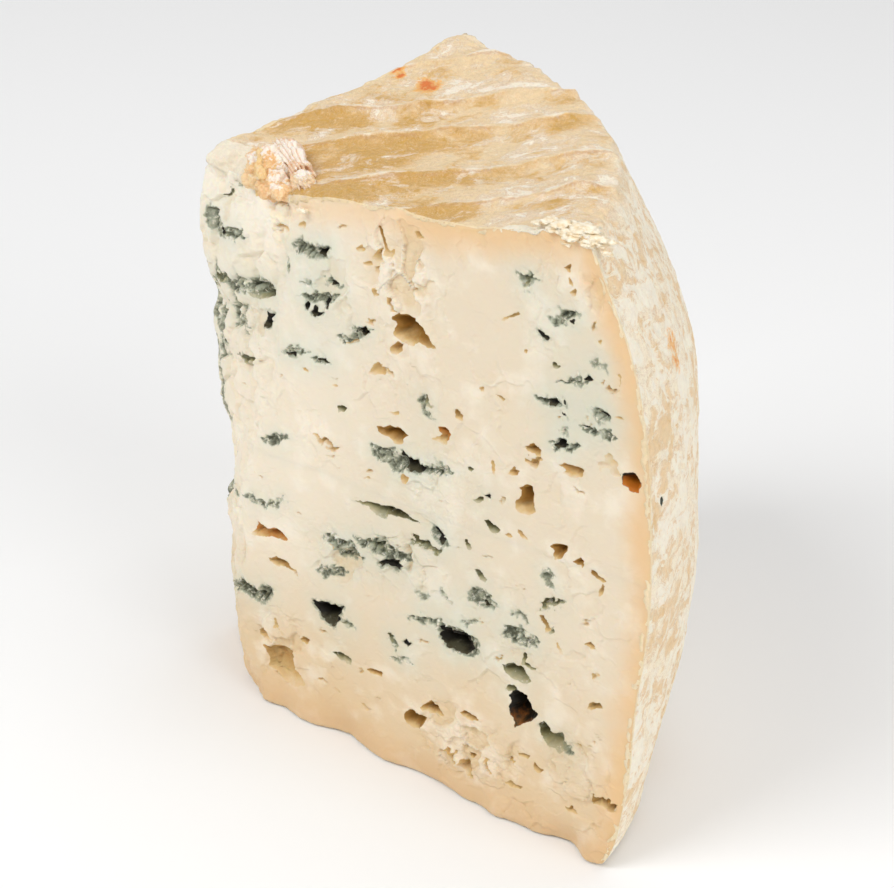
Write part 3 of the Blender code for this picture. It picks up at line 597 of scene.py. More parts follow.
BACK_HOLLOWS: tuple[Hollow, ...] = (
    Hollow(Bloom.BLACK, 22.0, 71.0, 6.0, 2.6, 12, 3.6),
    Hollow(Bloom.BLUE, 37.0, 80.0, 9.0, 2.6, -8, 2.6),
    Hollow(Bloom.OLIVE, 50.0, 66.0, 6.0, 4.0, 20, 4.0),
    Hollow(Bloom.BLUE, 30.0, 52.0, 10.0, 3.0, 10, 2.6),
    Hollow(Bloom.BLACK, 56.0, 45.0, 4.6, 3.6, -16, 4.0),
    Hollow(Bloom.BLACK, 41.0, 35.0, 7.4, 3.0, 24, 4.4),
    Hollow(Bloom.WARM, 25.0, 25.0, 6.0, 3.0, 0, 3.2),
    Hollow(Bloom.BLUE, 58.0, 21.0, 7.0, 3.4, 30, 3.4),
    Hollow(Bloom.WARM, 44.0, 12.0, 5.4, 2.8, 6, 2.4),
)
FRONT_CRUMBLING: tuple[Crumbling, ...] = (
    Crumbling(48.0, 86.0, 9.0, 9.0, 0.75),
    Crumbling(58.0, 52.0, 10.0, 9.0, 0.55),
    Crumbling(66.0, 10.0, 13.0, 8.0, 0.9),
    Crumbling(46.0, 66.0, 8.0, 10.0, 0.3),
    Crumbling(86.0, 14.0, 8.0, 9.0, 0.5),
    Crumbling(26.0, 12.0, 8.0, 10.0, 0.5),
    Crumbling(17.0, 60.0, 7.0, 26.0, 0.4),
    Crumbling(10.0, 82.0, 10.0, 14.0, 0.3),
    Crumbling(12.0, 30.0, 8.0, 24.0, 0.35),
    Crumbling(84.0, 93.0, 10.0, 4.0, 0.55),
    Crumbling(50.0, 38.0, 12.0, 6.0, 0.5),
    Crumbling(38.0, 34.0, 10.0, 7.0, 0.55),
)
BACK_CRUMBLING: tuple[Crumbling, ...] = (
    Crumbling(20.0, 60.0, 12.0, 24.0, 0.6),
    Crumbling(48.0, 30.0, 16.0, 14.0, 0.5),
    Crumbling(40.0, 84.0, 16.0, 9.0, 0.4),
)


@dataclass
class Readings:
    """What a cut side knows at each of its points, before it is shaped and coloured."""

    depth: Array
    gap: Array
    sunk: Array
    mould: Array
    halo: Array
    dark: Array
    warm: Array
    olive: Array
    rust: Array
    lip: Array

    @classmethod
    def blank(cls, count: int) -> "Readings":
        """Starts with nothing anywhere, and no opening near."""
        made = cls(*(np.zeros(count) for _ in range(10)))
        made.gap += 9.0
        return made

    def at(self, index: Array) -> "Readings":
        """Gives the readings of some of the points."""
        return Readings(*(getattr(self, part.name)[index] for part in fields(self)))

    def line(self, index: Array, gap: Array, linings: dict[str, Array]) -> None:
        """Gives an opening's lining to the points that lie nearer to it than to any other opening.

        Args:
            index: The points.
            gap: How far each lies outside the opening's edge, below 0 inside.
            linings: The opening's value for each kind of lining.
        """
        wins = gap < self.gap[index]
        won = index[wins]
        self.gap[won] = gap[wins]
        for name in ("dark", "warm", "olive", "rust"):
            getattr(self, name)[won] = linings[name][wins] if name in linings else 0.0


@dataclass
class Carver:
    """Cuts hollows and flakes into the plane of a cut side."""

    hollows: Sequence[Hollow]
    openings: Sequence[Opening]
    crumbling: Sequence[Crumbling]
    span: tuple[float, float]
    seed: int
    pits: int = 90
    veins: int = 0

    def dealt(self) -> list[Hollow]:
        """Deals the openings that lie between the listed ones.

        Returns:
            Hollows of 0.5 to 2 mm in bare paste, and veins of 2 to 8 mm, mostly mouldy.
        """
        dealer = np.random.default_rng(self.seed)
        made = []
        for _ in range(self.pits):
            along = dealer.uniform(*self.span)
            height = dealer.uniform(3.0, 96.0)
            long = 0.5 + 1.5 * dealer.random() ** 2.2
            thick = long * dealer.uniform(0.3, 0.75)
            lean = dealer.normal(10.0, 28.0)
            made.append(Hollow(Bloom.WARM, along, height, long, thick, lean, 0.25 + 0.45 * long))
        kinds = (Bloom.BLUE, Bloom.BLUE, Bloom.BLUE, Bloom.BLUE, Bloom.OLIVE, Bloom.BLACK, Bloom.WARM)
        for number in range(self.veins):
            bloom = kinds[number % len(kinds)]
            along = dealer.uniform(self.span[0] + 4.0, self.span[1] - 4.0)
            height = dealer.uniform(14.0, 88.0)
            long = 2.0 + 6.0 * dealer.random() ** 1.6
            thick = long * dealer.uniform(0.14, 0.42)
            deep = 0.8 if bloom is Bloom.BLUE else 1.0 + 0.35 * long
            made.append(Hollow(bloom, along, height, long, thick, dealer.normal(10.0, 26.0), deep))
        return made

    def carve(self, along: Array, height: Array) -> Readings:
        """Reads every hollow at every point.

        Args:
            along: Place along the side, in millimetres.
            height: Height above the base, in millimetres.

        Returns:
            The depth of the hollows and what lines them.
        """
        grain = Grain(self.seed)
        flat = np.column_stack([along, height, np.zeros(len(along))])
        across = flat + np.array([0.0, 0.0, 40.0])
        u = along + 1.1 * grain.smooth(flat, 2.3) + 0.7 * grain.smooth(flat, 0.9)
        v = height + 0.9 * grain.smooth(across, 2.1) + 0.6 * grain.smooth(across, 0.8)
        found = Readings.blank(len(along))
        for number, hollow in enumerate(list(self.hollows) + self.dealt()):
            self._open(found, hollow, u, v, number)
        u = along + 0.22 * grain.smooth(flat, 1.3) + 0.16 * grain.smooth(flat, 0.55)
        v = height + 0.22 * grain.smooth(across, 1.3) + 0.16 * grain.smooth(across, 0.55)
        for opening in self.openings:
            self._open_outline(found, opening, u, v)
        return found

    def _open_outline(self, found: Readings, opening: Opening, u: Array, v: Array) -> None:
        """Adds one outlined opening to the readings: deep under its upper edge, rising to its lower edge.

        Args:
            found: What is changed.
            opening: The opening.
            u: Warped place along the side.
            v: Warped height.
        """
        corners = np.array(opening.outline).reshape(-1, 2)
        low, high = corners.min(axis=0), corners.max(axis=0)
        spread = 1.4 if opening.bloom is Bloom.WARM else 5.0
        near = (u > low[0] - spread) & (u < high[0] + spread) & (v > low[1] - spread) & (v < high[1] + spread)
        near = np.nonzero(near)[0]
        if not len(near):
            return
        place = np.column_stack([u[near], v[near]])
        gap = np.full(len(near), 99.0)
        inside = np.zeros(len(near), bool)
        for start, end in zip(corners, np.roll(corners, -1, axis=0)):
            edge = end - start
            share = np.clip(((place - start) @ edge) / (edge @ edge), 0, 1)
            gap = np.minimum(gap, np.linalg.norm(place - start - share[:, None] * edge, axis=1))
            if start[1] != end[1]:
                crosses = (start[1] > place[:, 1]) != (end[1] > place[:, 1])
                at = start[0] + edge[0] * (place[:, 1] - start[1]) / edge[1]
                inside ^= crosses & (place[:, 0] < at)
        gap = np.where(inside, -gap, gap)
        rise = (place[:, 1] - low[1]) / (high[1] - low[1])
        bloom = opening.bloom
        dark = bloom in (Bloom.BLACK, Bloom.RUST)
        floor = 0.75 + 0.3 * rise if dark else 0.3 + 0.75 * eased(rise, 0.05, 0.85)
        depth = opening.deep * eased(-gap, -0.05, 0.25 + 0.35 * opening.deep) * floor
        found.depth[near] = np.maximum(found.depth[near], depth)
        found.lip[near] = np.maximum(found.lip[near], np.exp(-((gap - 0.3) ** 2) / 0.1))
        size = min(1.0, 0.4 + float(np.ptp(corners, axis=0).max()) / 7)
        outside = np.maximum(gap, 0.0)
        mouldy = {Bloom.BLUE: 0.8, Bloom.BLACK: 0.6, Bloom.OLIVE: 0.25, Bloom.RUST: 0.15}
        strength = mouldy.get(bloom, 0.0) * size
        if strength:
            found.mould[near] = np.maximum(found.mould[near], strength * np.exp(-((outside / 0.5) ** 1.2)))
            halo = strength * np.exp(-outside / 2.0)
            found.halo[near] = 1 - (1 - found.halo[near]) * (1 - 0.85 * halo)
        if bloom is Bloom.BLUE:
            return
        linings: dict[str, Array] = {}
        # Dark lining: near-black mould, growing toward the upper edge as painted shade under the lip; rust fades in
        # deep openings as painted shade.
        if dark:
            linings["dark"] = 0.38 + 0.62 * eased(rise, -0.05, 0.5)
        if bloom is Bloom.RUST:
            linings["rust"] = eased(rise, 0.75, 0.2) * min(1.0, (3.2 / opening.deep) ** 2)
        # Olive lining: thin olive mould, growing toward the upper edge as painted shade.
        if bloom is Bloom.OLIVE:
            linings["olive"] = 0.35 + 0.65 * eased(rise, 0.1, 0.9)
        # Warm lining: partly the paste's own warmer colour, partly painted shade that grows toward the upper edge and
        # with the opening's depth.
        if bloom in (Bloom.WARM, Bloom.AMBER):
            linings["warm"] = (0.2 + 0.8 * eased(rise, 0.0, 0.55)) * min(1.0, 0.2 + opening.deep / 3.8)
        if bloom is Bloom.AMBER:
            linings["rust"] = 0.45 * eased(rise, -0.1, 0.6)
            linings["warm"] *= 0.75
        found.line(near, gap, linings)

    def _open(self, found: Readings, hollow: Hollow, u: Array, v: Array, number: int) -> None:
        """Adds one hollow to the readings.

        Args:
            found: What is changed.
            hollow: The hollow.
            u: Warped place along the side.
            v: Warped height.
            number: Its place in the list, which deals its outline.
        """
        spread = 7.0 if hollow.bloom not in (Bloom.WARM,) else 1.6
        radius = hollow.long / 2 + spread
        near = np.nonzero((np.abs(u - hollow.along) < radius) & (np.abs(v - hollow.height) < radius))[0]
        if not len(near):
            return
        dealer = np.random.default_rng(self.seed * 1000 + number)
        lean = math.radians(hollow.lean)
        a, b = u[near] - hollow.along, v[near] - hollow.height
        x = a * math.cos(lean) + b * math.sin(lean)
        y = b * math.cos(lean) - a * math.sin(lean)
        half_long, half_thick = hollow.long / 2, hollow.thick / 2
        corners = 6 if hollow.thick > 1.2 else 5
        start = dealer.uniform(0, 2 * math.pi)
        shape = np.zeros(len(near))
        for corner in range(corners):
            turn = start + 2 * math.pi * (corner + dealer.uniform(-0.3, 0.3)) / corners
            reach = dealer.uniform(0.78, 1.12)
            shape = np.maximum(
                shape, (x / half_long * math.cos(turn) + y / half_thick * math.sin(turn)) / reach
            )
        oval = np.hypot(x / half_long, y / half_thick)
        shape = 0.7 * shape + 0.3 * oval
        away = np.hypot(x, y)
        gap = away * (1 - 1 / np.maximum(shape, 0.05))
        gap = np.where(shape < 1, np.maximum(gap, (shape - 1) * half_thick), gap)
        open_ = eased(-gap, -0.05, min(0.25 + 0.35 * hollow.deep, half_thick))
        floor = 0.72 + 0.4 * np.clip(y / half_thick, -1, 1)
        depth = hollow.deep * open_ * floor
        found.depth[near] = np.maximum(found.depth[near], depth)
        outside = np.maximum(gap, 0.0)
        found.lip[near] = np.maximum(found.lip[near], np.exp(-((gap - 0.25) ** 2) / 0.09))
        mouldy = {Bloom.BLUE: 0.78, Bloom.BLACK: 0.8, Bloom.OLIVE: 0.35, Bloom.FAINT: 0.2, Bloom.RUST: 0.3}
        strength = mouldy.get(hollow.bloom, 0.0) * min(1.0, 0.45 + hollow.long / 8)
        if strength:
            mould = strength * np.exp(-((outside / 0.55) ** 1.3))
            found.mould[near] = np.maximum(found.mould[near], mould)
            halo = strength * np.exp(-outside / (1.2 + 0.12 * hollow.long))
            found.halo[near] = 1 - (1 - found.halo[near]) * (1 - 0.75 * halo)
        if hollow.bloom in (Bloom.BLUE, Bloom.FAINT):
            return
        rise = y / half_thick
        linings: dict[str, Array] = {}
        # Dark lining: near-black mould, growing toward the upper edge as painted shade under the lip.
        if hollow.bloom in (Bloom.BLACK, Bloom.RUST):
            linings["dark"] = 0.3 + 0.7 * eased(rise, -1.2, 0.1)
        if hollow.bloom is Bloom.RUST:
            linings["rust"] = eased(rise, 0.5, -0.6)
        # Olive lining: thin olive mould, growing toward the upper edge as painted shade.
        if hollow.bloom is Bloom.OLIVE:
            linings["olive"] = 0.4 + 0.6 * eased(rise, -0.9, 0.8)
        # Warm lining: partly the paste's own warmer colour, partly painted shade that grows toward the upper edge and
        # with the hollow's depth.
        if hollow.bloom is Bloom.WARM:
            linings["warm"] = (0.25 + 0.75 * eased(rise, -0.9, 0.8)) * min(1.0, 0.1 + hollow.deep / 3.4)
        found.line(near, gap, linings)

    def flakes(self, along: Array, height: Array) -> Array:
        """Reads how broken the paste is, from 0 where the knife left it smooth to 1."""
        place = np.column_stack([along, height, np.full(len(along), 70.0)])
        rough = 0.07 + 0.2 * eased(Grain(self.seed + 3).smooth(place, 13.0), 0.0, 0.6)
        for zone in self.crumbling:
            away = np.hypot((along - zone.along) / zone.wide, (height - zone.height) / zone.tall)
            rough = np.maximum(rough, zone.rough * eased(away, 1.15, 0.35))
        return rough


def object_named(name: str) -> bpy.types.Object:
    """Names the object that an operator has just made, and its mesh."""
    made = bpy.context.object
    made.name = name
    made.data.name = name
    return made


def clear_selection() -> None:
    """Deselects everything."""
    for thing in bpy.context.selected_objects:
        thing.select_set(False)


def only(thing: bpy.types.Object) -> None:
    """Selects one object and makes it the active one."""
    clear_selection()
    thing.select_set(True)
    bpy.context.view_layer.objects.active = thing


def grid_sheet(name: str, columns: int, rows: int) -> tuple[bpy.types.Object, Array, Array]:
    """Adds a flat grid, ready to be bent.

    Args:
        name: The new object's name.
        columns: Faces across.
        rows: Faces up.

    Returns:
        The object, and each vertex's column and row.
    """
    clear_selection()
    bpy.ops.mesh.primitive_grid_add(x_subdivisions=columns, y_subdivisions=rows, size=1.0)
    sheet = object_named(name)
    place = np.empty(len(sheet.data.vertices) * 3, np.float32)
    sheet.data.vertices.foreach_get("co", place)
    place = place.reshape(-1, 3)
    column = np.rint((place[:, 0] + 0.5) * columns).astype(int)
    row = np.rint((place[:, 1] + 0.5) * rows).astype(int)
    return sheet, column, row


def set_points(thing: bpy.types.Object, points: Array) -> None:
    """Puts an object's vertices at these points, in metres."""
    thing.data.vertices.foreach_set("co", points.astype(np.float32).ravel())
    thing.data.update()


def store(thing: bpy.types.Object, name: str, values: Array) -> None:
    """Stores a number (n,) or a vector (n, 3) at each vertex for the finish to read."""
    flat = values.ndim == 1
    layer = thing.data.attributes.new(name, "FLOAT" if flat else "FLOAT_VECTOR", "POINT")
    layer.data.foreach_set("value" if flat else "vector", values.astype(np.float32).ravel())


def face_outwards(thing: bpy.types.Object, inside: Array) -> None:
    """Turns an open sheet's faces away from a point inside the cheese, in metres."""
    faces = thing.data.polygons
    middle = np.empty(len(faces) * 3, np.float32)
    facing = np.empty(len(faces) * 3, np.float32)
    faces.foreach_get("center", middle)
    faces.foreach_get("normal", facing)
    lean = ((middle.reshape(-1, 3) - inside) * facing.reshape(-1, 3)).sum(axis=1)
    if np.median(lean) < 0:
        only(thing)
        bpy.ops.object.mode_set(mode="EDIT")
        bpy.ops.mesh.select_all(action="SELECT")
        bpy.ops.mesh.flip_normals()
        bpy.ops.object.mode_set(mode="OBJECT")


def smooth_shade(thing: bpy.types.Object) -> None:
    """Shades an object's faces as one rounded surface."""
    only(thing)
    bpy.ops.object.shade_smooth()
    clear_selection()


def placed(thing: bpy.types.Object) -> None:
    """Ties a finished piece to the part's body and hides the imported part that it replaces."""
    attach(thing, "root")
    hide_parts(NODE)
    log.info("%s: %d faces", thing.name, len(thing.data.polygons))


@dataclass
class CutFront:
    """The nose and the front cut: a sheet that turns round the edge between them, in a lower and an upper half."""

    wheel: Wheel
    nose_columns: int = 66
    face_columns: int = 236
    half_rows: int = 326

    def build(self, finish: "Finish") -> list[bpy.types.Object]:
        """Bends both halves onto the wedge and carves them.

        Args:
            finish: What they are dressed in.

        Returns:
            The lower half and the upper half.
        """
        columns, rows = self.nose_columns + self.face_columns, 2 * self.half_rows
        row, column = np.divmod(np.arange((columns + 1) * (rows + 1)), columns + 1)
        out = np.clip((column - self.nose_columns) / self.face_columns, 0, 1)
        across = np.clip(1 - column / self.nose_columns, 0, 1)
        up = row / rows
        wheel = self.wheel
        points = wheel.points(out, across, up)
        height = points[:, 2]
        corner = wheel.nose(np.zeros(len(out)), height)[:, 0]
        far = np.linalg.norm(wheel.nose(np.ones(len(out)), height) - wheel.nose(np.zeros(len(out)), height), axis=1)
        on_nose = column < self.nose_columns
        along = np.where(on_nose, corner - across * far, points[:, 0])
        carver = Carver(FRONT_HOLLOWS, FRONT_OPENINGS, FRONT_CRUMBLING, (4.0, 92.0), 11)
        found = carver.carve(along, height)
        rough = carver.flakes(along, height)
        reach = wheel.wall(np.zeros(len(out)), height)[:, 0]
        top_gap = (1 - up) * wheel.top_height(out, across)
        rind_gap = top_gap + 5.5 * eased(corner - along, 0.0, 7.0)
        wall_gap = np.where(on_nose, 60.0, (1 - out) * (reach - corner))
        back_gap = np.where(on_nose, (1 - across) * far, 60.0)
        turn = eased(along - corner, -1.6, 1.6)[:, None]
        inward = wheel.inward(across, height)
        lean = inward["nose"] * (1 - turn) + inward["front"] * turn
        lean /= np.linalg.norm(lean, axis=1)[:, None]
        lumps = self._lumps(points, along, corner - along, found)
        relief = paste_relief(points, rough, found, 3) + lumps
        grain = Grain(5)
        chip = eased(np.abs(along - corner), 2.4, 0.2)
        relief += chip * (0.5 + 0.8 * grain.layered(points, 4.5, 4)) * (0.4 + rough)
        fair = eased(corner - along, -1.0, 2.5) * (0.45 + 0.55 * eased(height, 74.0, 86.0)) * eased(height, 12.0, 40.0)
        fair = np.maximum(fair, 0.45 * eased(along - corner, 34.0, 4.0) * eased(height, 14.0, 34.0))
        crust = eased(np.abs(along - corner + 1.1 + 2.8 * grain.layered(points, 6.0, 4)), 1.5, 0.9)
        crust *= eased(height, 80.5, 83.0) * eased(top_gap, 16.0, 14.0) * (grain.layered(points, 2.4, 3) > -0.22)
        relief -= 0.75 * crust * (0.7 + 0.8 * grain.smooth(points, 1.4))
        edge = np.minimum.reduce([top_gap, wall_gap, height, back_gap])
        points = points + lean * (relief * eased(edge, 0.1, 1.2))[:, None]
        shape = points.reshape(rows + 1, columns + 1, 3)
        facing = np.cross(np.gradient(shape, axis=1), np.gradient(shape, axis=0)).reshape(-1, 3)
        facing /= np.linalg.norm(facing, axis=1)[:, None]
        made = []
        for name, first in (("cut_front_lower", 0), ("cut_front_upper", self.half_rows)):
            sheet, its_column, its_row = grid_sheet(name, columns, self.half_rows)
            here = (its_row + first) * (columns + 1) + its_column
            set_points(sheet, wheel.settled(points[here]))
            store_paste(sheet, found.at(here), np.minimum(rind_gap, wall_gap)[here], height[here], rough[here])
            store(sheet, "crust", crust[here])
            store(sheet, "fair", fair[here])
            made.append(finish_sheet(sheet, wheel, finish, facing[here]))
        return made

    def _lumps(self, points: Array, along: Array, past: Array, found: Readings) -> Array:
        """Breaks the nose into soft lumps, with mould in the clefts between some of them.

        Args:
            points: The points, in millimetres.
            along: Place along the side.
            past: How far each point lies round the corner, on the nose.
            found: What the carver found; the clefts' mould is added.

        Returns:
            How far the surface lies in, in millimetres.
        """
        here = np.nonzero(past > -3.0)[0]
        grain = Grain(27)
        place, side, height = points[here], along[here], points[here, 2]
        bent = place + 1.3 * np.column_stack([grain.smooth(place + shift, 4.0) for shift in (11.0, 47.0, 83.0)])
        bent += 0.3 * np.column_stack([grain.smooth(place + shift, 1.2) for shift in (21.0, 57.0, 93.0)])
        near, after, _own = grain.cells(bent, 5.6)
        cleft = eased(after - near, 0.26, 0.02) * eased(grain.smooth(place, 9.0), -0.25, 0.15)
        share = eased(past[here], -3.0, 2.0)
        mouldy = eased(np.abs(height - 68.0), 7.0, 4.0) * eased(side, 17.0, 12.0)
        mouldy = np.maximum(mouldy, eased(np.abs(height - 55.0), 14.0, 10.0) * eased(side, 8.5, 3.0))
        mouldy = np.maximum(mouldy, eased(np.abs(height - 25.0), 5.0, 3.0) * eased(side, 3.5, 0.0))
        mould = 0.8 * share * mouldy * eased(after - near, 0.24, 0.03)
        found.mould[here] = np.maximum(found.mould[here], mould)
        found.halo[here] = np.maximum(found.halo[here], 0.4 * share * mouldy)
        depth = np.zeros(len(points))
        depth[here] = share * (0.8 * cleft + 0.6 * grain.layered(place, 7.0, 4))
        return depth


@dataclass
class CutBack:
    """The cut side that faces away, a plain sheet."""

    wheel: Wheel
    columns: int = 200
    rows: int = 326

    def build(self, finish: "Finish") -> bpy.types.Object:
        """Bends the sheet onto the wedge and carves it.

        Args:
            finish: What it is dressed in.

        Returns:
            The finished piece.
        """
        sheet, column, row = grid_sheet("cut_side_back", self.columns, self.rows)
        out, up = column / self.columns, row / self.rows
        across = np.ones(len(out))
        wheel = self.wheel
        points = wheel.points(out, across, up)
        height = points[:, 2]
        along = np.hypot(points[:, 0], points[:, 1])
        carver = Carver(BACK_HOLLOWS, (), BACK_CRUMBLING, (12.0, 72.0), 23, 170, 63)
        found = carver.carve(along, height)
        rough = carver.flakes(along, height)
        near, far = wheel.nose(across, height), wheel.wall(across, height)
        width = np.linalg.norm(far - near, axis=1)
        top_gap = (1 - up) * wheel.top_height(out, across)
        wall_gap, nose_gap = (1 - out) * width, out * width
        relief = paste_relief(points, rough, found, 7)
        edge = np.minimum.reduce([top_gap, wall_gap, height, nose_gap])
        points = points + wheel.inward(across, height)["back"] * (relief * eased(edge, 0.15, 1.5))[:, None]
        set_points(sheet, wheel.settled(points))
        store_paste(sheet, found, np.minimum(top_gap, wall_gap), height, rough)
        store(sheet, "crust", np.zeros(len(out)))
        store(sheet, "fair", np.zeros(len(out)))
        return finish_sheet(sheet, wheel, finish)


def paste_relief(points: Array, rough: Array, found: Readings, seed: int) -> Array:
    """Gives how far the surface of the paste lies in from the plain cut.

    Args:
        points: The points, in millimetres.
        rough: How broken the paste is at each point.
        found: What the carver found.
        seed: Deals the pattern.

    Returns:
        Depths in millimetres, a little below 0 where a lip stands proud.
    """
    grain = Grain(seed)
    swell = 0.32 * grain.smooth(points, 15.0) + 0.14 * grain.layered(points, 5.0, 3)
    drawn = points * np.array([1.0, 1.0, 0.0])
    drawn[:, 2] = points[:, 2] * (1.15 - 0.0038 * points[:, 2])
    bent = drawn + 1.3 * np.column_stack([grain.smooth(points + shift, 3.4) for shift in (11.0, 47.0, 83.0)])
    bent += 0.35 * np.column_stack([grain.smooth(points + shift, 1.1) for shift in (21.0, 57.0, 93.0)])
    near, after, own = grain.cells(bent, 4.2)
    flake = (own - 0.45) * eased(after - near, 0.01, 0.07)
    near, after, own = grain.cells(bent + 50.0, 1.7)
    chip = (own - 0.45) * eased(after - near, 0.02, 0.12)
    broken = rough * (2.2 * flake + 0.4 * chip + 0.25 * grain.layered(points, 2.2, 3))
    # sunk: how far the broken paste lies in; the finish tints it as painted shade in the recesses.
    found.sunk = eased(broken, 0.08, 0.7)
    cracked = np.nonzero(found.mould > 0.02)[0]
    near, after, _own = grain.cells(bent[cracked] * 1.25, 1.9)
    crevice = eased(after - near, 0.42, 0.02)
    lumps = grain.layered(points[cracked], 1.5, 3)
    tint = 0.55 + 0.45 * crevice + 0.25 * lumps
    fuzz = np.zeros(len(points))
    fuzz[cracked] = found.mould[cracked] * (0.5 * crevice + 0.5 * lumps + 0.2 * grain.layered(points[cracked], 0.7, 2))
    found.mould[cracked] *= tint
    torn = found.lip * 0.16 * grain.smooth(points, 1.1)
    return swell + broken + fuzz + found.depth - torn


def store_paste(sheet: bpy.types.Object, found: Readings, rind_gap: Array, height: Array, rough: Array) -> None:
    """Stores on a cut side all that the paste's finish reads."""
    for name in ("gap", "sunk", "mould", "halo", "dark", "warm", "olive", "rust"):
        store(sheet, name, getattr(found, name))
    store(sheet, "rind_gap", rind_gap)
    store(sheet, "base_gap", height)
    store(sheet, "rough", rough)


def finish_sheet(
    sheet: bpy.types.Object, wheel: Wheel, finish: "Finish", facing: Optional[Array] = None
) -> bpy.types.Object:
    """Turns a sheet outwards, shades it smooth, dresses it and ties it to the part.

    Args:
        sheet: The sheet.
        wheel: The shape it lies on.
        finish: What it is dressed in.
        facing: Which way each vertex faces, where the sheet is one of two that meet in the open.

    Returns:
        The sheet.
    """
    face_outwards(sheet, wheel.settled(np.array([[45.0, 30.0, 50.0]]))[0])
    smooth_shade(sheet)
    if facing is not None:
        sheet.data.normals_split_custom_set_from_vertices(facing.tolist())
    sheet.data.materials.append(finish.material())
    placed(sheet)
    return sheet


@dataclass
class Rind:
    """The wall and the top, one sheet that wraps a little way onto both cut sides and the nose."""

    wheel: Wheel
    across_columns: int = 262
    wall_rows: int = 230
    top_rows: int = 122
    wrap: int = 3
    lip: float = 0.75
    dot: tuple[float, float, float] = (94.0, 4.6, 62.3)

    def build(self, finish: "Finish") -> bpy.types.Object:
        """Bends the sheet over the wedge and roughens it.

        Args:
            finish: What it is dressed in.

        Returns:
            The finished piece.
        """
        columns = self.across_columns + 2 * self.wrap
        rows = self.wall_rows + self.top_rows + self.wrap
        sheet, column, row = grid_sheet("rind", columns, rows)
        wheel = self.wheel
        across = np.clip((column - self.wrap) / self.across_columns, 0, 1)
        up = np.clip(row / self.wall_rows, 0, 1)
        out = np.clip(1 - (row - self.wall_rows) / self.top_rows, 0, 1)
        points = wheel.points(out, across, up)
        plan_rim = wheel.wall(across, np.full(len(out), wheel.rim_height))
        rim_along, rim_across = wheel.flow(plan_rim)
        along, over = wheel.flow(points[:, :2])
        on_wall = row <= self.wall_rows
        down = np.where(on_wall, wheel.rim_height - points[:, 2], 0.0)
        along = np.where(on_wall, rim_along + down, along)
        over = np.where(on_wall, rim_across, over)
        reach = np.hypot(points[:, 0], points[:, 1])
        cut_gap = np.minimum(across, 1 - across) * wheel.cut_angle * reach
        nose_gap = np.where(on_wall, 60.0, out * 65.0)
        rim_gap = np.where(on_wall, down, -(1 - out) * 65.0)
        wallness = eased(rim_gap, -3.5, 5.0)
        inward = wheel.inward(across, points[:, 2])
        lean = inward["top"] * (1 - wallness)[:, None] + inward["wall"] * wallness[:, None]
        lean /= np.linalg.norm(lean, axis=1)[:, None]
        relief = self._relief(points, along, over, wallness, down)
        tear = out * 65.0 - 1.0 - 6.5 * eased(across, 0.25, 0.8) + 2.5 * eased(across, 0.85, 1.0)
        torn = eased(tear + 1.8 * Grain(43).layered(points, 4.5, 4), 0.4, -0.4) * np.where(on_wall, 0.0, 1.0)
        strip = across * wheel.cut_angle * reach + 1.6 * Grain(45).layered(points, 3.5, 3)
        strip = eased(strip, 1.9, 1.1) * eased(np.abs(points[:, 0] - 76.0), 12.0, 8.0) * (1 - 0.8 * wallness)
        torn = np.maximum(torn, strip)
        relief -= torn * (0.3 + 0.7 * Grain(44).layered(points, 4.0, 3))
        edge = np.minimum(np.minimum(cut_gap, nose_gap), points[:, 2])
        points = points - lean * (relief * eased(edge, 0.05, 1.3))[:, None]
        points = self._wrapped(points, column, row, out, across, up)
        set_points(sheet, wheel.settled(points))
        lip = ((column < self.wrap) | (column > self.wrap + self.across_columns)).astype(float)
        lip = np.maximum(lip, row > self.wall_rows + self.top_rows)
        store(sheet, "flow", np.column_stack([along, over, wallness]))
        store(sheet, "lip", np.maximum(lip, eased(edge, 0.9, 0.1)) * (1 - torn))
        store(sheet, "past", wheel.ridge_gap(over + 0.8 * Grain(15).smooth(points, 11.0)))
        store(sheet, "torn", torn)
        store(sheet, "rim", eased(rim_gap, -48.0, -6.0))
        spots = np.zeros(len(out))
        for x, y, z, size in RUSTY_SPOTS:
            away = np.linalg.norm(points - np.array([x, y, z]), axis=1)
            spots = np.maximum(spots, eased(away, size, 0.2 * size) * (1.0 if z > 90.0 else 0.72))
        store(sheet, "spot", spots)
        dot = np.linalg.norm(points - self.dot, axis=1) + 0.3 * Grain(33).smooth(points, 0.8)
        store(sheet, "dot", eased(dot, 0.9, 0.4))
        return finish_sheet(sheet, wheel, finish)

    def _ridge_mark(self, points: Array, over: Array, down: Array) -> Array:
        """Gives how near each point is to the thin pale line that tops a ridge, from 0 to 1."""
        grain = Grain(31)
        away = np.abs(self.wheel.ridge_gap(over + 0.8 * Grain(15).smooth(points, 11.0) + 0.3 * grain.smooth(points, 2.5)))
        return eased(away, 1.2, 0.2) * eased(down, 14.0, 1.0) * np.clip(0.55 + 1.5 * grain.layered(points, 7.0, 3), 0, 1)

    def _relief(self, points: Array, along: Array, over: Array, wallness: Array, down: Array) -> Array:
        """Gives how far the rind stands proud of the plain wheel, in millimetres."""
        grain = Grain(41)
        drawn = np.column_stack([along / 2.6, over / 1.3, np.zeros(len(along))])
        fine = np.column_stack([along / 1.3, over / 0.6, np.zeros(len(along))])
        streak = 0.2 * grain.layered(drawn, 1.0, 3) + 0.07 * grain.smooth(fine, 1.0)
        swell = 0.35 * grain.smooth(points, 14.0) + 0.2 * grain.layered(points, 5.0, 3)
        pock = eased(grain.smooth(points + 9.0, 2.6), 0.35, 0.7) * 0.35 * wallness
        crest = 0.35 * self._ridge_mark(points, over, down)
        return streak + swell - pock + crest

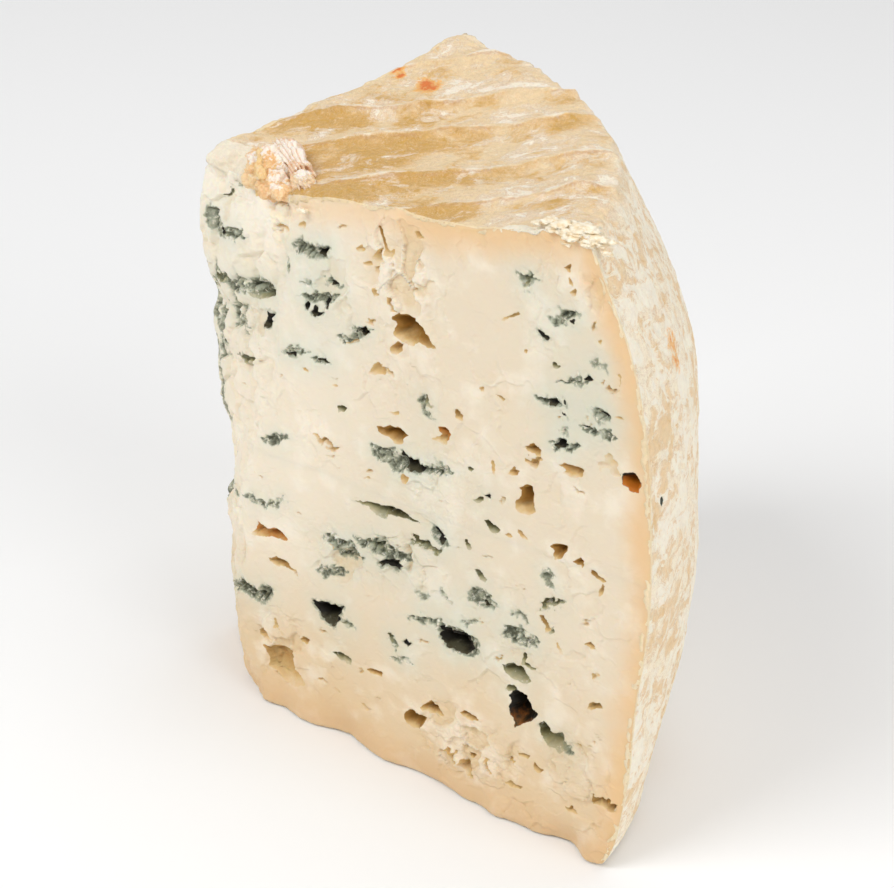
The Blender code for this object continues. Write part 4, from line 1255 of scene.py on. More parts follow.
    def _wrapped(self, points: Array, column: Array, row: Array, out: Array, across: Array, up: Array) -> Array:
        """Turns the sheet's outer rows onto the cut sides, the last of them inside the paste."""
        wheel = self.wheel
        grain = Grain(51)
        inward = wheel.inward(across, points[:, 2])
        wrap, last = self.wrap, self.wrap + self.across_columns
        top_row = self.wall_rows + self.top_rows
        on_top = eased(row - self.wall_rows, -2.0, 2.0)
        for side, steps in (("front", wrap - column), ("back", column - last)):
            here = steps > 0
            amount = np.clip(self.lip * (0.9 + 2.2 * grain.layered(points, 4.0, 4, 0.7)), 0.12, 2.6)
            share = np.clip(steps / (wrap - 1), 0, 1)
            slide = inward["top"] * on_top[:, None] + inward["wall"] * (1 - on_top)[:, None]
            sink = np.where(steps >= wrap, 0.9, np.where(steps > 0, -0.07, 0.0))
            moved = points + slide * (amount * share)[:, None] + inward[side] * sink[:, None]
            moved[:, 2] = np.maximum(moved[:, 2], 0.0)
            points = np.where(here[:, None], moved, points)
        steps = row - top_row
        here = steps > 0
        amount = np.clip(self.lip * (1.3 + 1.2 * grain.layered(points + 30.0, 3.2, 3)), 0.3, 2.6)
        share = np.clip(steps / (wrap - 1), 0, 1)
        sink = np.where(steps >= wrap, 0.9, np.where(steps > 0, -0.07, 0.0))
        moved = points + inward["top"] * (amount * share)[:, None] + inward["nose"] * sink[:, None]
        return np.where(here[:, None], moved, points)


# Rusty spots on the rind: place about the wheel's axis and size.
RUSTY_SPOTS: tuple[tuple[float, float, float, float], ...] = (
    (20.0, 41.4, 97.2, 3.4), (18.4, 42.4, 97.2, 2.4), (11.0, 43.6, 97.0, 2.8), (13.2, 42.6, 97.0, 1.8),
    (85.9, 16.8, 80.2, 4.4), (85.8, 17.4, 77.6, 3.4),
)


@dataclass
class Base:
    """The flat underside, covered in the same rind."""

    wheel: Wheel
    out_columns: int = 90
    across_rows: int = 80

    def build(self, finish: "Finish") -> bpy.types.Object:
        """Lays the sheet under the wedge.

        Args:
            finish: What it is dressed in.

        Returns:
            The finished piece.
        """
        sheet, column, row = grid_sheet("base_rind", self.out_columns, self.across_rows)
        out, across = column / self.out_columns, row / self.across_rows
        points = self.wheel.points(out, across, np.zeros(len(out)))
        along, over = self.wheel.flow(points[:, :2])
        mark = Grain(61).layered(points, 4.0, 3)
        edge = np.minimum(np.minimum(out, 1 - out), np.minimum(across, 1 - across))
        points[:, 2] += np.clip(0.25 * mark, 0.0, 0.4) * eased(edge, 0.0, 0.05)
        set_points(sheet, self.wheel.settled(points))
        store(sheet, "flow", np.column_stack([along, over, np.full(len(out), 0.6)]))
        for name in ("lip", "spot", "dot", "torn"):
            store(sheet, name, np.zeros(len(out)))
        store(sheet, "past", np.full(len(out), 20.0))
        store(sheet, "rim", np.ones(len(out)))
        return finish_sheet(sheet, self.wheel, finish)


@dataclass(frozen=True)
class Roll:
    """A lump of folded rind: where it lies, its half sizes, the way it points and how deep its furrows are."""

    middle: tuple[float, float, float]
    half: tuple[float, float, float]
    turn: float
    tilt: float
    furrow: float


@dataclass
class Fold:
    """The lump and the roll of torn rind that stand over the nose's front corner."""

    wheel: Wheel
    rolls: tuple[Roll, ...] = (
        Roll((18.0, 5.0, 91.6), (4.6, 3.8, 3.3), -34.0, 6.0, 0.1),
        Roll((21.0, 2.8, 91.0), (4.4, 3.0, 2.0), -30.0, 4.0, 0.15),
        Roll((15.9, 4.8, 91.0), (5.2, 1.3, 3.7), -40.0, 0.0, 0.15),
        Roll((20.6, 7.4, 93.1), (8.0, 2.0, 2.6), -34.0, 2.0, 1.0),
        Roll((26.0, 3.6, 92.5), (2.4, 2.1, 2.0), -20.0, 0.0, 0.5),
    )

    def build(self, finish: "Finish") -> bpy.types.Object:
        """Shapes each lump from a ball and joins them.

        Args:
            finish: What they are dressed in.

        Returns:
            The finished piece.
        """
        made = []
        for number, roll in enumerate(self.rolls):
            clear_selection()
            bpy.ops.mesh.primitive_ico_sphere_add(subdivisions=6, radius=1.0)
            lump = object_named(f"rind_fold_{number}")
            self._shape(lump, roll, number)
            made.append(lump)
        only(made[0])
        for lump in made[1:]:
            lump.select_set(True)
        bpy.ops.object.join()
        fold = object_named("rind_fold")
        smooth_shade(fold)
        fold.data.materials.append(finish.material())
        placed(fold)
        return fold

    def _shape(self, lump: bpy.types.Object, roll: Roll, number: int) -> None:
        """Squashes, furrows and lobes one lump and puts it in place."""
        ball = np.empty(len(lump.data.vertices) * 3, np.float32)
        lump.data.vertices.foreach_get("co", ball)
        ball = ball.reshape(-1, 3).astype(float)
        grain = Grain(71 + number)
        shape = ball * np.array(roll.half)
        swell = 1 + 0.36 * grain.smooth(shape, 3.4) + 0.28 * grain.layered(shape, 1.8, 4)
        furrow = np.sin((shape[:, 1] * 1.2 + shape[:, 2]) * 6.5 + 1.6 * grain.smooth(shape * np.array([0.4, 1.0, 1.0]), 1.6))
        swell += roll.furrow * 0.06 * furrow
        shape = shape * swell[:, None]
        bent = shape + 0.6 * np.column_stack([grain.smooth(shape + shift, 1.2) for shift in (11.0, 47.0, 83.0)])
        near, after, _own = grain.cells(bent, 1.3)
        valley = eased(after - near, 0.35, 0.0)
        shape -= ball * (0.11 * (1 - roll.furrow) * valley)[:, None]
        turn = Matrix.Rotation(math.radians(roll.turn), 3, "Z") @ Matrix.Rotation(math.radians(roll.tilt), 3, "Y")
        points = shape @ np.array(turn).T + np.array(roll.middle)
        set_points(lump, self.wheel.settled(points))
        # crease_shade: the valleys between cells and the troughs of the furrows, where painted shade goes.
        crease_shade = np.maximum(valley * (1 - roll.furrow), eased(-furrow, 0.1, 1.0) * roll.furrow)
        store(lump, "crease_shade", crease_shade)
        store(lump, "rolled", np.full(len(ball), roll.furrow))
        store(lump, "ribbon", np.full(len(ball), float(roll.half[1] < 1.5)))
        store(lump, "upward", eased(ball[:, 2] + 0.5 * grain.smooth(shape, 2.2), 0.0, 1.0))


@dataclass(frozen=True)
class Crumb:
    """A crumb that clings to the wedge: its place about the wheel's axis and its size."""

    x: float
    y: float
    z: float
    size: float


@dataclass
class Crumbs:
    """The crumbs that cling to the top edge."""

    wheel: Wheel
    crumbs: tuple[Crumb, ...] = (
        Crumb(73.6, 1.5, 100.7, 2.4), Crumb(75.4, 0.8, 100.6, 4.0), Crumb(76.9, 2.2, 100.9, 2.4),
        Crumb(78.0, 0.4, 100.3, 3.4), Crumb(79.3, 1.7, 100.8, 4.4), Crumb(80.7, 0.4, 99.9, 2.4),
        Crumb(81.9, 1.6, 100.1, 3.4), Crumb(83.6, 0.9, 99.0, 1.6), Crumb(71.6, 0.6, 100.2, 1.4),
        Crumb(77.2, 0.2, 98.9, 1.6), Crumb(29.0, -0.15, 90.0, 1.5),
    )

    def build(self, finish: "Finish") -> bpy.types.Object:
        """Shapes each crumb from a ball and joins them.

        Args:
            finish: What they are dressed in.

        Returns:
            The finished piece.
        """
        made = []
        for number, crumb in enumerate(self.crumbs):
            clear_selection()
            bpy.ops.mesh.primitive_ico_sphere_add(subdivisions=4, radius=1.0)
            lump = object_named(f"crumb_{number}")
            ball = np.empty(len(lump.data.vertices) * 3, np.float32)
            lump.data.vertices.foreach_get("co", ball)
            ball = ball.reshape(-1, 3).astype(float)
            grain = Grain(90 + number)
            swell = 1 + 1.1 * grain.layered(ball, 1.2, 4, 0.7)
            shape = ball * swell[:, None] * np.array([1.0, 0.8, 0.34]) * crumb.size / 2
            points = shape + np.array([crumb.x, crumb.y, crumb.z])
            set_points(lump, self.wheel.settled(points))
            made.append(lump)
        only(made[0])
        for lump in made[1:]:
            lump.select_set(True)
        bpy.ops.object.join()
        crumbs = object_named("crumbs")
        smooth_shade(crumbs)
        crumbs.data.materials.append(finish.material())
        placed(crumbs)
        return crumbs


Value = Union["Signal", float]
Colour = tuple[float, float, float, float]


def dye(red: float, green: float, blue: float) -> Colour:
    """Turns a colour as seen on a screen, 0 to 255, into light amounts for a shader."""
    light = [(c / 255 / 12.92 if c <= 10 else ((c / 255 + 0.055) / 1.055) ** 2.4) for c in (red, green, blue)]
    return (light[0], light[1], light[2], 1.0)


class Bench:
    """One material under construction: it adds nodes and joins them."""

    def __init__(self, name: str) -> None:
        """Starts a material with only its output and its shader."""
        self.made = bpy.data.materials.new(name)
        self.made.use_nodes = True
        self.tree = self.made.node_tree
        self.shader = self.tree.nodes["Principled BSDF"]

    def node(self, kind: str, settings: dict[str, object], values: dict[Union[str, int], object]) -> bpy.types.Node:
        """Adds a node.

        Args:
            kind: Its type.
            settings: Its own settings, set first.
            values: Its inputs by name or number: numbers, colours or signals.

        Returns:
            The node.
        """
        made = self.tree.nodes.new(kind)
        for name, value in settings.items():
            setattr(made, name, value)
        for name, value in values.items():
            self.feed(made.inputs[name], value)
        return made

    def feed(self, socket: bpy.types.NodeSocket, value: object) -> None:
        """Joins a signal to a socket, or sets the socket's own value."""
        if isinstance(value, Signal):
            self.tree.links.new(value.socket, socket)
        else:
            socket.default_value = value

    def signal(self, node: bpy.types.Node, output: Union[str, int] = 0) -> "Signal":
        """Wraps one of a node's outputs."""
        return Signal(self, node.outputs[output])

    def place(self) -> "Signal":
        """Gives the object's own coordinates, in metres."""
        return self.signal(self.node("ShaderNodeTexCoord", {}, {}), "Object")

    def stored(self, name: str, output: str = "Fac") -> "Signal":
        """Reads what a mesh stores at its vertices."""
        return self.signal(self.node("ShaderNodeAttribute", {"attribute_name": name}, {}), output)

    def grain(self, where: "Signal", size: float, detail: float = 3.0, rough: float = 0.5, bend: float = 0.0) -> "Signal":
        """Reads noise whose swells are this size in the units of its coordinates."""
        values = {"Vector": where, "Scale": 1.0 / size, "Detail": detail, "Roughness": rough, "Distortion": bend}
        return self.signal(self.node("ShaderNodeTexNoise", {}, values), "Fac")

    def cells(self, where: "Signal", size: float, feature: str, output: str = "Distance") -> "Signal":
        """Reads a pattern of irregular cells of this size."""
        values = {"Vector": where, "Scale": 1.0 / size}
        return self.signal(self.node("ShaderNodeTexVoronoi", {"feature": feature}, values), output)

    def between(self, value: "Signal", low: float, high: float) -> "Signal":
        """Goes smoothly from 0 at low to 1 at high."""
        if low > high:
            return 1.0 - self.between(value, high, low)
        values = {"Value": value, "From Min": low, "From Max": high}
        made = self.node("ShaderNodeMapRange", {"interpolation_type": "SMOOTHSTEP", "clamp": True}, values)
        return self.signal(made)

    def band(self, value: "Signal", middle: float, half: float) -> "Signal":
        """Gives 1 where a value is at the middle of a narrow band, and 0 outside it."""
        return self.between(value, middle - half, middle) - self.between(value, middle, middle + half)

    def mixed(self, share: Value, first: object, second: object) -> "Signal":
        """Mixes two colours."""
        made = self.node("ShaderNodeMix", {"data_type": "RGBA", "clamp_factor": True}, {0: share, 6: first, 7: second})
        return self.signal(made, 2)

    def shaded(self, colour: "Signal", amount: "Signal") -> "Signal":
        """Multiplies a colour by a number that varies."""
        made = self.node("ShaderNodeVectorMath", {"operation": "SCALE"}, {0: colour, "Scale": amount})
        return self.signal(made)

    def stretched(self, where: "Signal", scale: tuple[float, float, float]) -> "Signal":
        """Scales coordinates."""
        return self.signal(self.node("ShaderNodeVectorMath", {"operation": "MULTIPLY"}, {0: where, 1: scale}))

    def bumped(self, height: "Signal", depth: float) -> "Signal":
        """Turns a height from 0 to 1 into a normal, depth metres from lowest to highest."""
        made = self.node("ShaderNodeBump", {}, {"Height": height, "Distance": depth, "Strength": 1.0})
        return self.signal(made)


@dataclass(frozen=True)
class Signal:
    """One shader value, with arithmetic."""

    bench: Bench
    socket: bpy.types.NodeSocket

    def _math(self, operation: str, first: Value, second: Value) -> "Signal":
        """Adds one Math node."""
        made = self.bench.node("ShaderNodeMath", {"operation": operation}, {0: first, 1: second})
        return self.bench.signal(made)

    def __add__(self, other: Value) -> "Signal":
        """Adds."""
        return self._math("ADD", self, other)

    def __radd__(self, other: Value) -> "Signal":
        """Adds."""
        return self._math("ADD", other, self)

    def __sub__(self, other: Value) -> "Signal":
        """Subtracts."""
        return self._math("SUBTRACT", self, other)

    def __rsub__(self, other: Value) -> "Signal":
        """Subtracts from a number."""
        return self._math("SUBTRACT", other, self)

    def __mul__(self, other: Value) -> "Signal":
        """Multiplies."""
        return self._math("MULTIPLY", self, other)

    def __rmul__(self, other: Value) -> "Signal":
        """Multiplies."""
        return self._math("MULTIPLY", other, self)

    def above(self, other: Value) -> "Signal":
        """Gives the larger of two values."""
        return self._math("MAXIMUM", self, other)


class Finish:
    """What a piece is dressed in."""

    def material(self) -> bpy.types.Material:
        """Builds the material once and gives it each time."""
        name = type(self).__name__
        return bpy.data.materials.get(name) or self.mix(Bench(name))

    def mix(self, bench: Bench) -> bpy.types.Material:
        """Joins the material's nodes."""
        raise NotImplementedError


@dataclass(frozen=True)
class PasteFinish(Finish):
    """Ivory paste, warmer towards the rind, with fuzzy blue mould in and round its hollows, and painted shade in the
    recesses of its flakes and toward the upper edges of its hollows.
    """

    ivory: Colour = dye(232, 217, 192)
    cream: Colour = dye(227, 199, 158)
    band: Colour = dye(236, 194, 140)
    foot: Colour = dye(221, 185, 141)
    white: Colour = dye(252, 243, 226)
    halo: Colour = dye(204, 212, 196)
    fuzz: Colour = dye(143, 148, 125)
    strand: Colour = dye(55, 56, 36)
    # black and pit: the near-black mould of dark openings; black, toward their upper edge, is painted shade.
    black: Colour = dye(23, 18, 6)
    pit: Colour = dye(60, 51, 22)
    olive: Colour = dye(142, 135, 80)
    moss: Colour = dye(72, 66, 30)
    # glow: a warm tone. In the recesses of flakes it is painted shade; inside warm openings it is partly the paste's
    # own warmth, partly painted shade.
    glow: Colour = dye(221, 188, 130)
    # tan: the darkest warm tone, painted shade under the upper lip of deep warm openings.
    tan: Colour = dye(134, 103, 44)
    amber: Colour = dye(216, 150, 68)
    rust: Colour = dye(205, 116, 17)
    crust: Colour = dye(247, 234, 208)

    def mix(self, bench: Bench) -> bpy.types.Material:
        """Joins the paste's nodes."""
        where = bench.place()
        mould, halo, dark = bench.stored("mould"), bench.stored("halo"), bench.stored("dark")
        warm, olive, rust = bench.stored("warm"), bench.stored("olive"), bench.stored("rust")
        rind_gap, base_gap = bench.stored("rind_gap"), bench.stored("base_gap")
        rough, crust = bench.stored("rough"), bench.stored("crust")
        cloud = bench.grain(where, 16 * MM, 3.0)
        patch = bench.grain(where, 5 * MM, 4.0)
        fine = bench.grain(where, 1.1 * MM, 4.0, 0.6)
        speck = bench.grain(where, 0.5 * MM, 3.0, 0.6)
        low = bench.between(base_gap + 26.0 * cloud, 52.0, 10.0)
        colour = bench.mixed(low, self.ivory, self.cream)
        colour = bench.mixed(bench.between(patch + 0.2 * rough, 0.5, 0.75) * 0.45, colour, self.white)
        band = bench.between(rind_gap + 5.0 * (cloud - 0.5) + 2.0 * (patch - 0.5), 6.5, 0.5)
        colour = bench.mixed(band * 0.8, colour, self.band)
        foot = bench.between(base_gap + 5.0 * (cloud - 0.5), 7.5, 0.5)
        colour = bench.mixed(foot * 0.7, colour, self.foot)
        colour = bench.mixed(bench.stored("fair") * 0.8, colour, self.white)
        colour = bench.mixed(halo * (0.4 + 0.9 * patch) * 0.9, colour, self.halo)
        # Painted shade: the sunken parts of broken flakes are tinted toward the darker warm glow colour.
        colour = bench.mixed(bench.stored("sunk") * 0.5, colour, self.glow)
        inside = bench.between(bench.stored("gap") + 0.25 * (speck - 0.5), 0.06, -0.08)
        # Inside warm openings: painted shade from glow to tan, strongest toward the upper lip and in deep openings,
        # over the paste's own warmth.
        warmth = warm + 0.3 * (fine - 0.5)
        colour = bench.mixed(inside * bench.between(warmth, -0.05, 0.4), colour, self.glow)
        colour = bench.mixed(inside * bench.between(warmth, 0.25, 0.95), colour, self.tan)
        ember = bench.between(warmth + 1.2 * (patch - 0.5), 0.35, 0.8)
        colour = bench.mixed(inside * ember * bench.between(warm, 0.1, 0.4) * 0.25, colour, self.amber)
        shade = bench.between(olive + 0.4 * (patch - 0.5), 0.05, 0.6)
        colour = bench.mixed(inside * shade * 0.85, colour, self.olive)
        # moss: a darker olive, painted shade toward the upper lip over the olive mould.
        colour = bench.mixed(inside * bench.between(olive + 0.5 * (patch - 0.5), 0.42, 0.85) * 0.9, colour, self.moss)
        colour = bench.mixed(inside * bench.between(dark, 0.1, 0.45), colour, self.pit)
        ragged = mould + 0.55 * (bench.grain(where, 2.2 * MM, 4.0, 0.6, 1.2) - 0.5) + 0.45 * (speck - 0.5)
        open_air = 1.0 - inside * bench.between(dark + warm, 0.1, 0.3) * 0.85
        colour = bench.mixed(bench.between(ragged, 0.16, 0.56) * open_air * 0.8, colour, self.fuzz)
        fleck = bench.grain(where, 1.0 * MM, 4.0, 0.65, 0.8)
        dense = mould + 1.3 * (fleck - 0.5) + 0.3 * (speck - 0.5)
        colour = bench.mixed(bench.between(dense, 0.46, 0.98) * open_air * 0.85, colour, self.strand)
        pale = bench.between(fleck + 0.3 * (speck - 0.5), 0.43, 0.36) * bench.between(mould, 0.12, 0.35) * open_air
        colour = bench.mixed(pale * 0.55, colour, self.white)
        # Painted shade: the upper part of dark openings goes to black.
        colour = bench.mixed(inside * bench.between(dark + 0.3 * (fine - 0.5), 0.55, 0.9), colour, self.black)
        colour = bench.mixed(inside * bench.between(rust + 0.8 * (fine - 0.5), 0.15, 0.85) * 0.85, colour, self.rust)
        colour = bench.mixed(bench.between(crust + 0.3 * (fine - 0.5), 0.3, 0.6) * 0.8, colour, self.crust)
        scales = bench.cells(where, 1.6 * MM, "DISTANCE_TO_EDGE")
        height = 0.5 * fine + 0.28 * speck + 0.5 * rough * bench.between(scales, 0.0, 0.18) + 0.3 * patch
        bench.feed(bench.shader.inputs["Base Color"], colour)
        bench.feed(bench.shader.inputs["Roughness"], 0.42 + 0.3 * fine + 0.2 * mould)
        bench.feed(bench.shader.inputs["Normal"], bench.bumped(height, 0.16 * MM))
        bench.shader.inputs["Subsurface Weight"].default_value = 0.3
        bench.shader.inputs["Subsurface Radius"].default_value = (1.0, 0.62, 0.34)
        bench.shader.inputs["Subsurface Scale"].default_value = 1.4 * MM
        bench.shader.inputs["Specular IOR Level"].default_value = 0.32
        return bench.made


@dataclass(frozen=True)
class RindFinish(Finish):
    """Ochre rind with whitish bloom, drawn out along the ridges of the top and down the wall, with painted shade before
    each ridge and painted light behind it.
    """

    tan: Colour = dye(238, 212, 170)
    ochre: Colour = dye(224, 181, 114)
    honey: Colour = dye(204, 156, 66)
    bloom: Colour = dye(244, 227, 202)
    mauve: Colour = dye(198, 150, 112)
    line: Colour = dye(248, 236, 214)
    wall: Colour = dye(255, 241, 215)
    wall_tan: Colour = dye(237, 202, 152)
    fleck: Colour = dye(230, 190, 130)
    lip: Colour = dye(247, 224, 184)
    flour: Colour = dye(255, 245, 226)
    spot: Colour = dye(244, 182, 96)
    core: Colour = dye(222, 104, 44)
    dot: Colour = dye(44, 48, 34)
    speck: Colour = dye(70, 60, 44)
    paste: Colour = dye(249, 238, 216)

    def mix(self, bench: Bench) -> bpy.types.Material:
        """Joins the rind's nodes."""
        where = bench.place()
        flow = bench.stored("flow", "Vector")
        split = bench.node("ShaderNodeSeparateXYZ", {}, {0: flow})
        wallness = bench.signal(split, 2)
        lip, spot = bench.stored("lip"), bench.stored("spot")
        flat = 1.0 - wallness
        rim = bench.stored("rim")
        fine = bench.grain(where, 0.8 * MM, 5.0, 0.7)
        mid = bench.grain(where, 2.0 * MM, 5.0, 0.65, 0.7)
        broad = bench.grain(bench.stretched(flow, (0.7, 1.0, 0.0)), 8.0, 5.0, 0.58, 0.5)
        veil = bench.grain(bench.stretched(flow, (0.7, 1.0, 9.0)), 5.5, 6.0, 0.68, 0.8)
        scratch = bench.grain(bench.stretched(flow, (0.5, 1.0, 0.0)), 0.9, 4.0, 0.65, 0.5)
        lens = bench.grain(bench.stretched(where, (1.0, 0.55, 0.85)), 3.4 * MM, 5.0, 0.6, 0.7)
        flour = bench.grain(bench.stretched(where, (1.0, 0.6, 0.85)), 3.0 * MM, 6.0, 0.68, 0.8)
        colour = bench.mixed(wallness, self.tan, self.wall)
        past = bench.stored("past") + 0.5 * (fine - 0.5) + 1.2 * (mid - 0.5)
        # Painted shade and light beside each ridge: before it more gold and less bloom, behind it less gold and more
        # bloom.
        before = bench.between(past, -8.0, -2.5) * bench.between(past, 0.1, -0.5)
        behind = bench.between(past, -0.2, 0.6) * bench.between(past, 6.5, 2.0)
        gold = broad + 0.35 * (mid - 0.5) + 0.07 - 0.17 * rim + 0.09 * before - 0.07 * behind
        colour = bench.mixed(bench.between(gold, 0.44, 0.60) * flat * 0.8, colour, self.ochre)
        colour = bench.mixed(bench.between(gold + 0.2 * (scratch - 0.5) - 0.05 * rim, 0.52, 0.65) * flat * 0.7, colour, self.honey)
        # pale: the bloom pattern, with the same painted shade before each ridge and painted light behind it.
        pale = veil + 0.3 * (mid - 0.5) + 0.15 * (fine - 0.5) + 0.04 - 0.05 * rim + 0.03 * before - 0.03 * behind
        colour = bench.mixed(bench.between(pale, 0.53, 0.43) * flat * 0.75, colour, self.bloom)
        colour = bench.mixed(bench.band(pale, 0.485, 0.012) * flat * 0.4, colour, self.mauve)
        colour = bench.mixed(bench.between(pale, 0.41, 0.385) * flat * 0.85, colour, self.flour)
        colour = bench.mixed(bench.band(pale, 0.42, 0.014) * flat * 0.5, colour, self.mauve)
        for level in (0.44, 0.50, 0.56):
            colour = bench.mixed(bench.band(mid + 0.1 * (fine - 0.5), level, 0.009) * 0.4, colour, self.mauve)
            colour = bench.mixed(bench.band(mid + 0.1 * (fine - 0.5), level + 0.02, 0.010) * 0.45, colour, self.line)
        colour = bench.mixed(bench.between(scratch + 0.3 * (fine - 0.5), 0.56, 0.70) * flat * 0.35, colour, self.bloom)
        cloud = bench.grain(where, 24 * MM, 2.0)
        low = bench.between(bench.signal(bench.node("ShaderNodeSeparateXYZ", {}, {0: where}), 2), 62 * MM, 24 * MM)
        tanned = lens + 0.2 * (flour - 0.5) + 0.35 * (cloud - 0.5) - 0.03 * low
        colour = bench.mixed(bench.between(tanned, 0.46, 0.60) * wallness * 0.75, colour, self.wall_tan)
        colour = bench.mixed(bench.between(mid + 0.5 * (lens - 0.5), 0.58, 0.68) * wallness * 0.55, colour, self.fleck)
        colour = bench.mixed(bench.band(tanned, 0.525, 0.012) * wallness * 0.35, colour, self.mauve)
        dust = flour + 0.2 * (fine - 0.5) + 0.3 * (cloud - 0.5) - 0.03 * low + 0.02
        colour = bench.mixed(bench.between(dust, 0.53, 0.44) * wallness * 0.85, colour, self.flour)
        colour = bench.mixed(bench.band(dust, 0.52, 0.012) * wallness * 0.35, colour, self.mauve)
        colour = bench.mixed(bench.between(mid + 0.5 * (fine - 0.5), 0.76, 0.82) * 0.6, colour, self.speck)
        whole = flat * bench.between(veil, 0.58, 0.46)
        colour = bench.mixed(bench.band(past, 0.15, 0.6) * whole * 0.85, colour, self.line)
        # Painted shadow: a thin mauve line just before each ridge's pale line.
        colour = bench.mixed(bench.band(past, -0.55, 0.4) * whole * 0.4, colour, self.mauve)
        rusty = spot + 1.4 * (mid - 0.5) + 1.6 * (fine - 0.5)
        colour = bench.mixed(bench.between(rusty, 0.25, 0.7) * bench.between(spot, 0.0, 0.2) * 0.8, colour, self.spot)
        colour = bench.mixed(bench.between(rusty, 0.65, 1.05) * bench.between(spot, 0.0, 0.2) * 0.8, colour, self.core)
        colour = bench.mixed(bench.between(bench.stored("dot"), 0.4, 0.6), colour, self.dot)
        colour = bench.mixed(bench.between(lip + 0.5 * (fine - 0.5), 0.4, 0.7) * 0.85, colour, self.lip)
        colour = bench.mixed(bench.between(bench.stored("torn") + 0.3 * (fine - 0.5), 0.3, 0.6) * 0.95, colour, self.paste)
        # Fine brightness variation: partly the rind's own mottle, partly painted shading of its fine relief.
        colour = bench.shaded(colour, 0.8 + 0.4 * fine)
        height = 0.55 * fine + 0.2 * scratch * flat + 0.5 * mid + 0.6 * flour * wallness + 0.3 * lens * wallness
        bench.feed(bench.shader.inputs["Base Color"], colour)
        bench.feed(bench.shader.inputs["Roughness"], 0.5 + 0.3 * fine)
        bench.feed(bench.shader.inputs["Normal"], bench.bumped(height * (1.0 - 0.25 * wallness), 0.7 * MM))
        bench.shader.inputs["Subsurface Weight"].default_value = 0.15
        bench.shader.inputs["Subsurface Radius"].default_value = (1.0, 0.6, 0.3)
        bench.shader.inputs["Subsurface Scale"].default_value = 1.0 * MM
        bench.shader.inputs["Specular IOR Level"].default_value = 0.35
        return bench.made


@dataclass(frozen=True)
class CrumbFinish(Finish):
    """Loose crumbs, a warm white."""

    pale: Colour = dye(252, 242, 220)
    deep: Colour = dye(240, 218, 180)

    def mix(self, bench: Bench) -> bpy.types.Material:
        """Joins the crumbs' nodes."""
        fine = bench.grain(bench.place(), 0.9 * MM, 4.0, 0.6)
        bench.feed(bench.shader.inputs["Base Color"], bench.mixed(bench.between(fine, 0.4, 0.65), self.pale, self.deep))
        bench.feed(bench.shader.inputs["Normal"], bench.bumped(fine, 0.2 * MM))
        bench.shader.inputs["Roughness"].default_value = 0.6
        bench.shader.inputs["Specular IOR Level"].default_value = 0.3
        return bench.made


@dataclass(frozen=True)
class FoldFinish(Finish):
    """Torn rind: orange in its thin places, a darker orange painted shade in its creases, floury white on its lumps,
    pinkish along the roll.
    """

    flesh: Colour = dye(242, 214, 168)
    orange: Colour = dye(233, 182, 120)
    flour: Colour = dye(247, 236, 224)
    pink: Colour = dye(236, 208, 184)
    crease_shade: Colour = dye(208, 150, 92)
    ribbon: Colour = dye(242, 206, 146)

    def mix(self, bench: Bench) -> bpy.types.Material:
        """Joins the fold's nodes."""
        where = bench.place()
        crease_shade, rolled, upward = bench.stored("crease_shade"), bench.stored("rolled"), bench.stored("upward")
        fine = bench.grain(where, 0.6 * MM, 4.0, 0.65)
        patch = bench.grain(where, 3.4 * MM, 4.0, 0.6, 0.8)
        colour = bench.mixed(bench.between(patch + 0.3 * (fine - 0.5), 0.42, 0.62) * 0.75, self.flesh, self.orange)
        colour = bench.mixed(rolled * 0.85, colour, self.pink)
        dust = patch + 0.4 * (fine - 0.5) - 0.22 * upward
        colour = bench.mixed(bench.between(dust, 0.38, 0.30) * 0.9, colour, self.flour)
        colour = bench.mixed(bench.band(dust, 0.39, 0.02) * 0.3, colour, self.orange)
        colour = bench.mixed(bench.stored("ribbon") * bench.between(patch, 0.3, 0.45) * 0.85, colour, self.ribbon)
        # Painted shade: a darker orange in the creases and furrows.
        colour = bench.mixed(bench.between(crease_shade + 0.8 * (fine - 0.5), 0.45, 1.05) * 0.45, colour, self.crease_shade)
        bench.feed(bench.shader.inputs["Base Color"], colour)
        bench.feed(bench.shader.inputs["Roughness"], 0.45 + 0.3 * fine)
        bench.feed(bench.shader.inputs["Normal"], bench.bumped(0.6 * fine + 0.4 * patch, 0.25 * MM))
        bench.shader.inputs["Subsurface Weight"].default_value = 0.2
        bench.shader.inputs["Subsurface Radius"].default_value = (1.0, 0.55, 0.25)
        bench.shader.inputs["Subsurface Scale"].default_value = 1.0 * MM
        bench.shader.inputs["Specular IOR Level"].default_value = 0.35
        return bench.made


@dataclass(frozen=True)
class FloorFinish(Finish):
    """A plain pale floor."""

    pale: Colour = (0.94, 0.94, 0.94, 1.0)

    def mix(self, bench: Bench) -> bpy.types.Material:
        """Sets the floor's colour."""
        bench.shader.inputs["Base Color"].default_value = self.pale
        bench.shader.inputs["Roughness"].default_value = 0.9
        bench.shader.inputs["Specular IOR Level"].default_value = 0.1
        return bench.made


@dataclass(frozen=True)
class Lamp:
    """A soft square lamp: its place about the wedge, side and strength."""

    name: str
    place: tuple[float, float, float]
    side: float
    watts: float


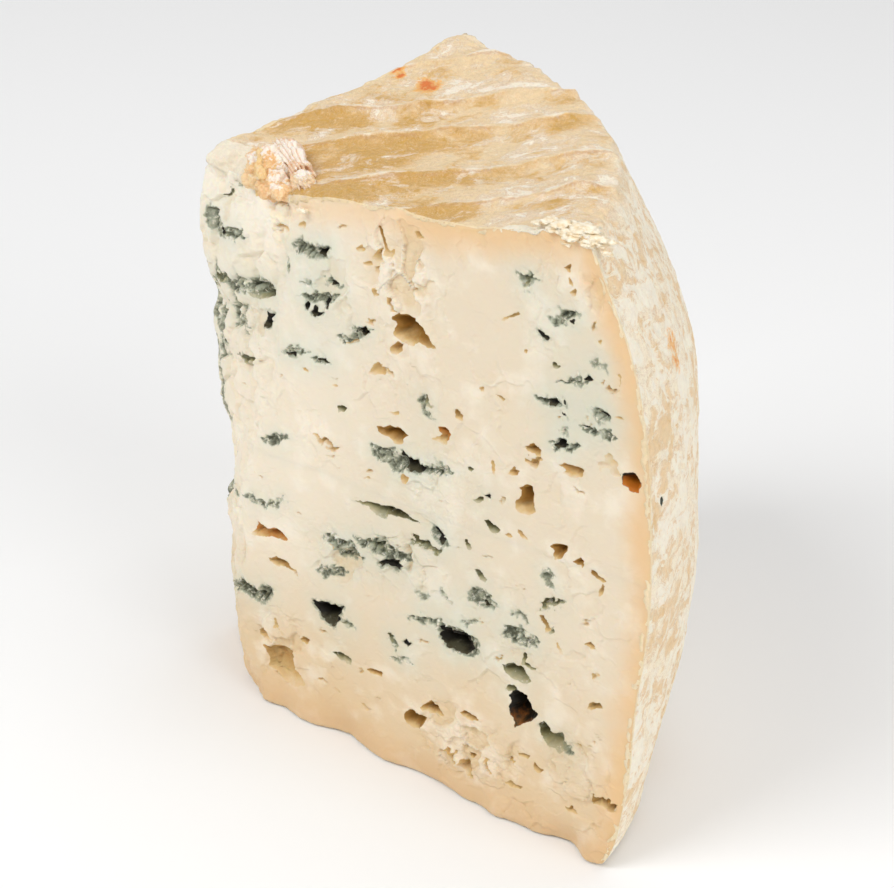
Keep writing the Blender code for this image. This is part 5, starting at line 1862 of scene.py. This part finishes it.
@dataclass
class Studio:
    """The floor, the lamps and the camera."""

    turn: float = math.radians(36.7)
    climb: float = math.radians(27.4)
    roll: float = math.radians(3.1)
    place: tuple[float, float, float] = (0.20863, -0.30400, 0.23338)
    lens: float = 100.7
    aim: tuple[float, float, float] = (0.0, 0.0, 0.05)
    lamps: tuple[Lamp, ...] = (
        Lamp("key", (-0.30, -0.75, 0.85), 0.6, 6.4),
        Lamp("fill", (0.9, -0.10, 0.50), 0.8, 3.8),
        Lamp("top", (0.05, 0.25, 1.0), 0.6, 2.2),
    )
    sky: float = 0.40

    def build(self) -> None:
        """Sets up all of them."""
        clear_selection()
        bpy.ops.mesh.primitive_plane_add(size=6.0, location=(0.0, 0.0, -0.0003))
        floor = object_named("floor")
        floor.data.transform(floor.matrix_world)
        floor.matrix_world = Matrix.Identity(4)
        floor.data.materials.append(FloorFinish().material())
        for lamp in self.lamps:
            self._hang(lamp)
        world = bpy.data.worlds.new("studio")
        bpy.context.scene.world = world
        world.use_nodes = True
        back = world.node_tree.nodes["Background"]
        back.inputs["Color"].default_value = (1.0, 1.0, 1.0, 1.0)
        back.inputs["Strength"].default_value = self.sky
        bpy.context.scene.view_settings.view_transform = "Standard"
        self._camera()

    def _hang(self, lamp: Lamp) -> None:
        """Adds one lamp, turned towards the wedge."""
        light = bpy.data.lights.new(lamp.name, "AREA")
        light.shape, light.size, light.energy = "SQUARE", lamp.side, lamp.watts
        holder = bpy.data.objects.new(lamp.name, light)
        bpy.context.scene.collection.objects.link(holder)
        holder.location = lamp.place
        towards = Vector(self.aim) - Vector(lamp.place)
        holder.rotation_euler = towards.to_track_quat("-Z", "Y").to_euler()

    def _camera(self) -> None:
        """Adds the camera at the viewing angle."""
        cos_climb = math.cos(self.climb)
        back = Vector((math.sin(self.turn) * cos_climb, -math.cos(self.turn) * cos_climb, math.sin(self.climb)))
        side = Vector((0.0, 0.0, 1.0)).cross(back).normalized()
        above = back.cross(side)
        cos, sin = math.cos(self.roll), math.sin(self.roll)
        right, up = side * cos + above * sin, above * cos - side * sin
        data = bpy.data.cameras.new("camera")
        data.lens, data.sensor_width, data.clip_start = self.lens, 36.0, 0.01
        camera = bpy.data.objects.new("camera", data)
        bpy.context.scene.collection.objects.link(camera)
        camera.matrix_world = Matrix((
            (right.x, up.x, back.x, self.place[0]), (right.y, up.y, back.y, self.place[1]),
            (right.z, up.z, back.z, self.place[2]), (0.0, 0.0, 0.0, 1.0),
        ))
        bpy.context.scene.camera = camera


def main() -> None:
    """Builds the studio and every piece in order."""
    logging.basicConfig(level=logging.INFO, format="%(message)s")
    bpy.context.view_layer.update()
    Studio().build()
    wheel = Wheel()
    paste, rind = PasteFinish(), RindFinish()
    CutFront(wheel).build(paste)
    CutBack(wheel).build(paste)
    Rind(wheel).build(rind)
    Base(wheel).build(rind)
    Fold(wheel).build(FoldFinish())
    Crumbs(wheel).build(CrumbFinish())
    clear_selection()


if __name__ == "__main__":
    main()
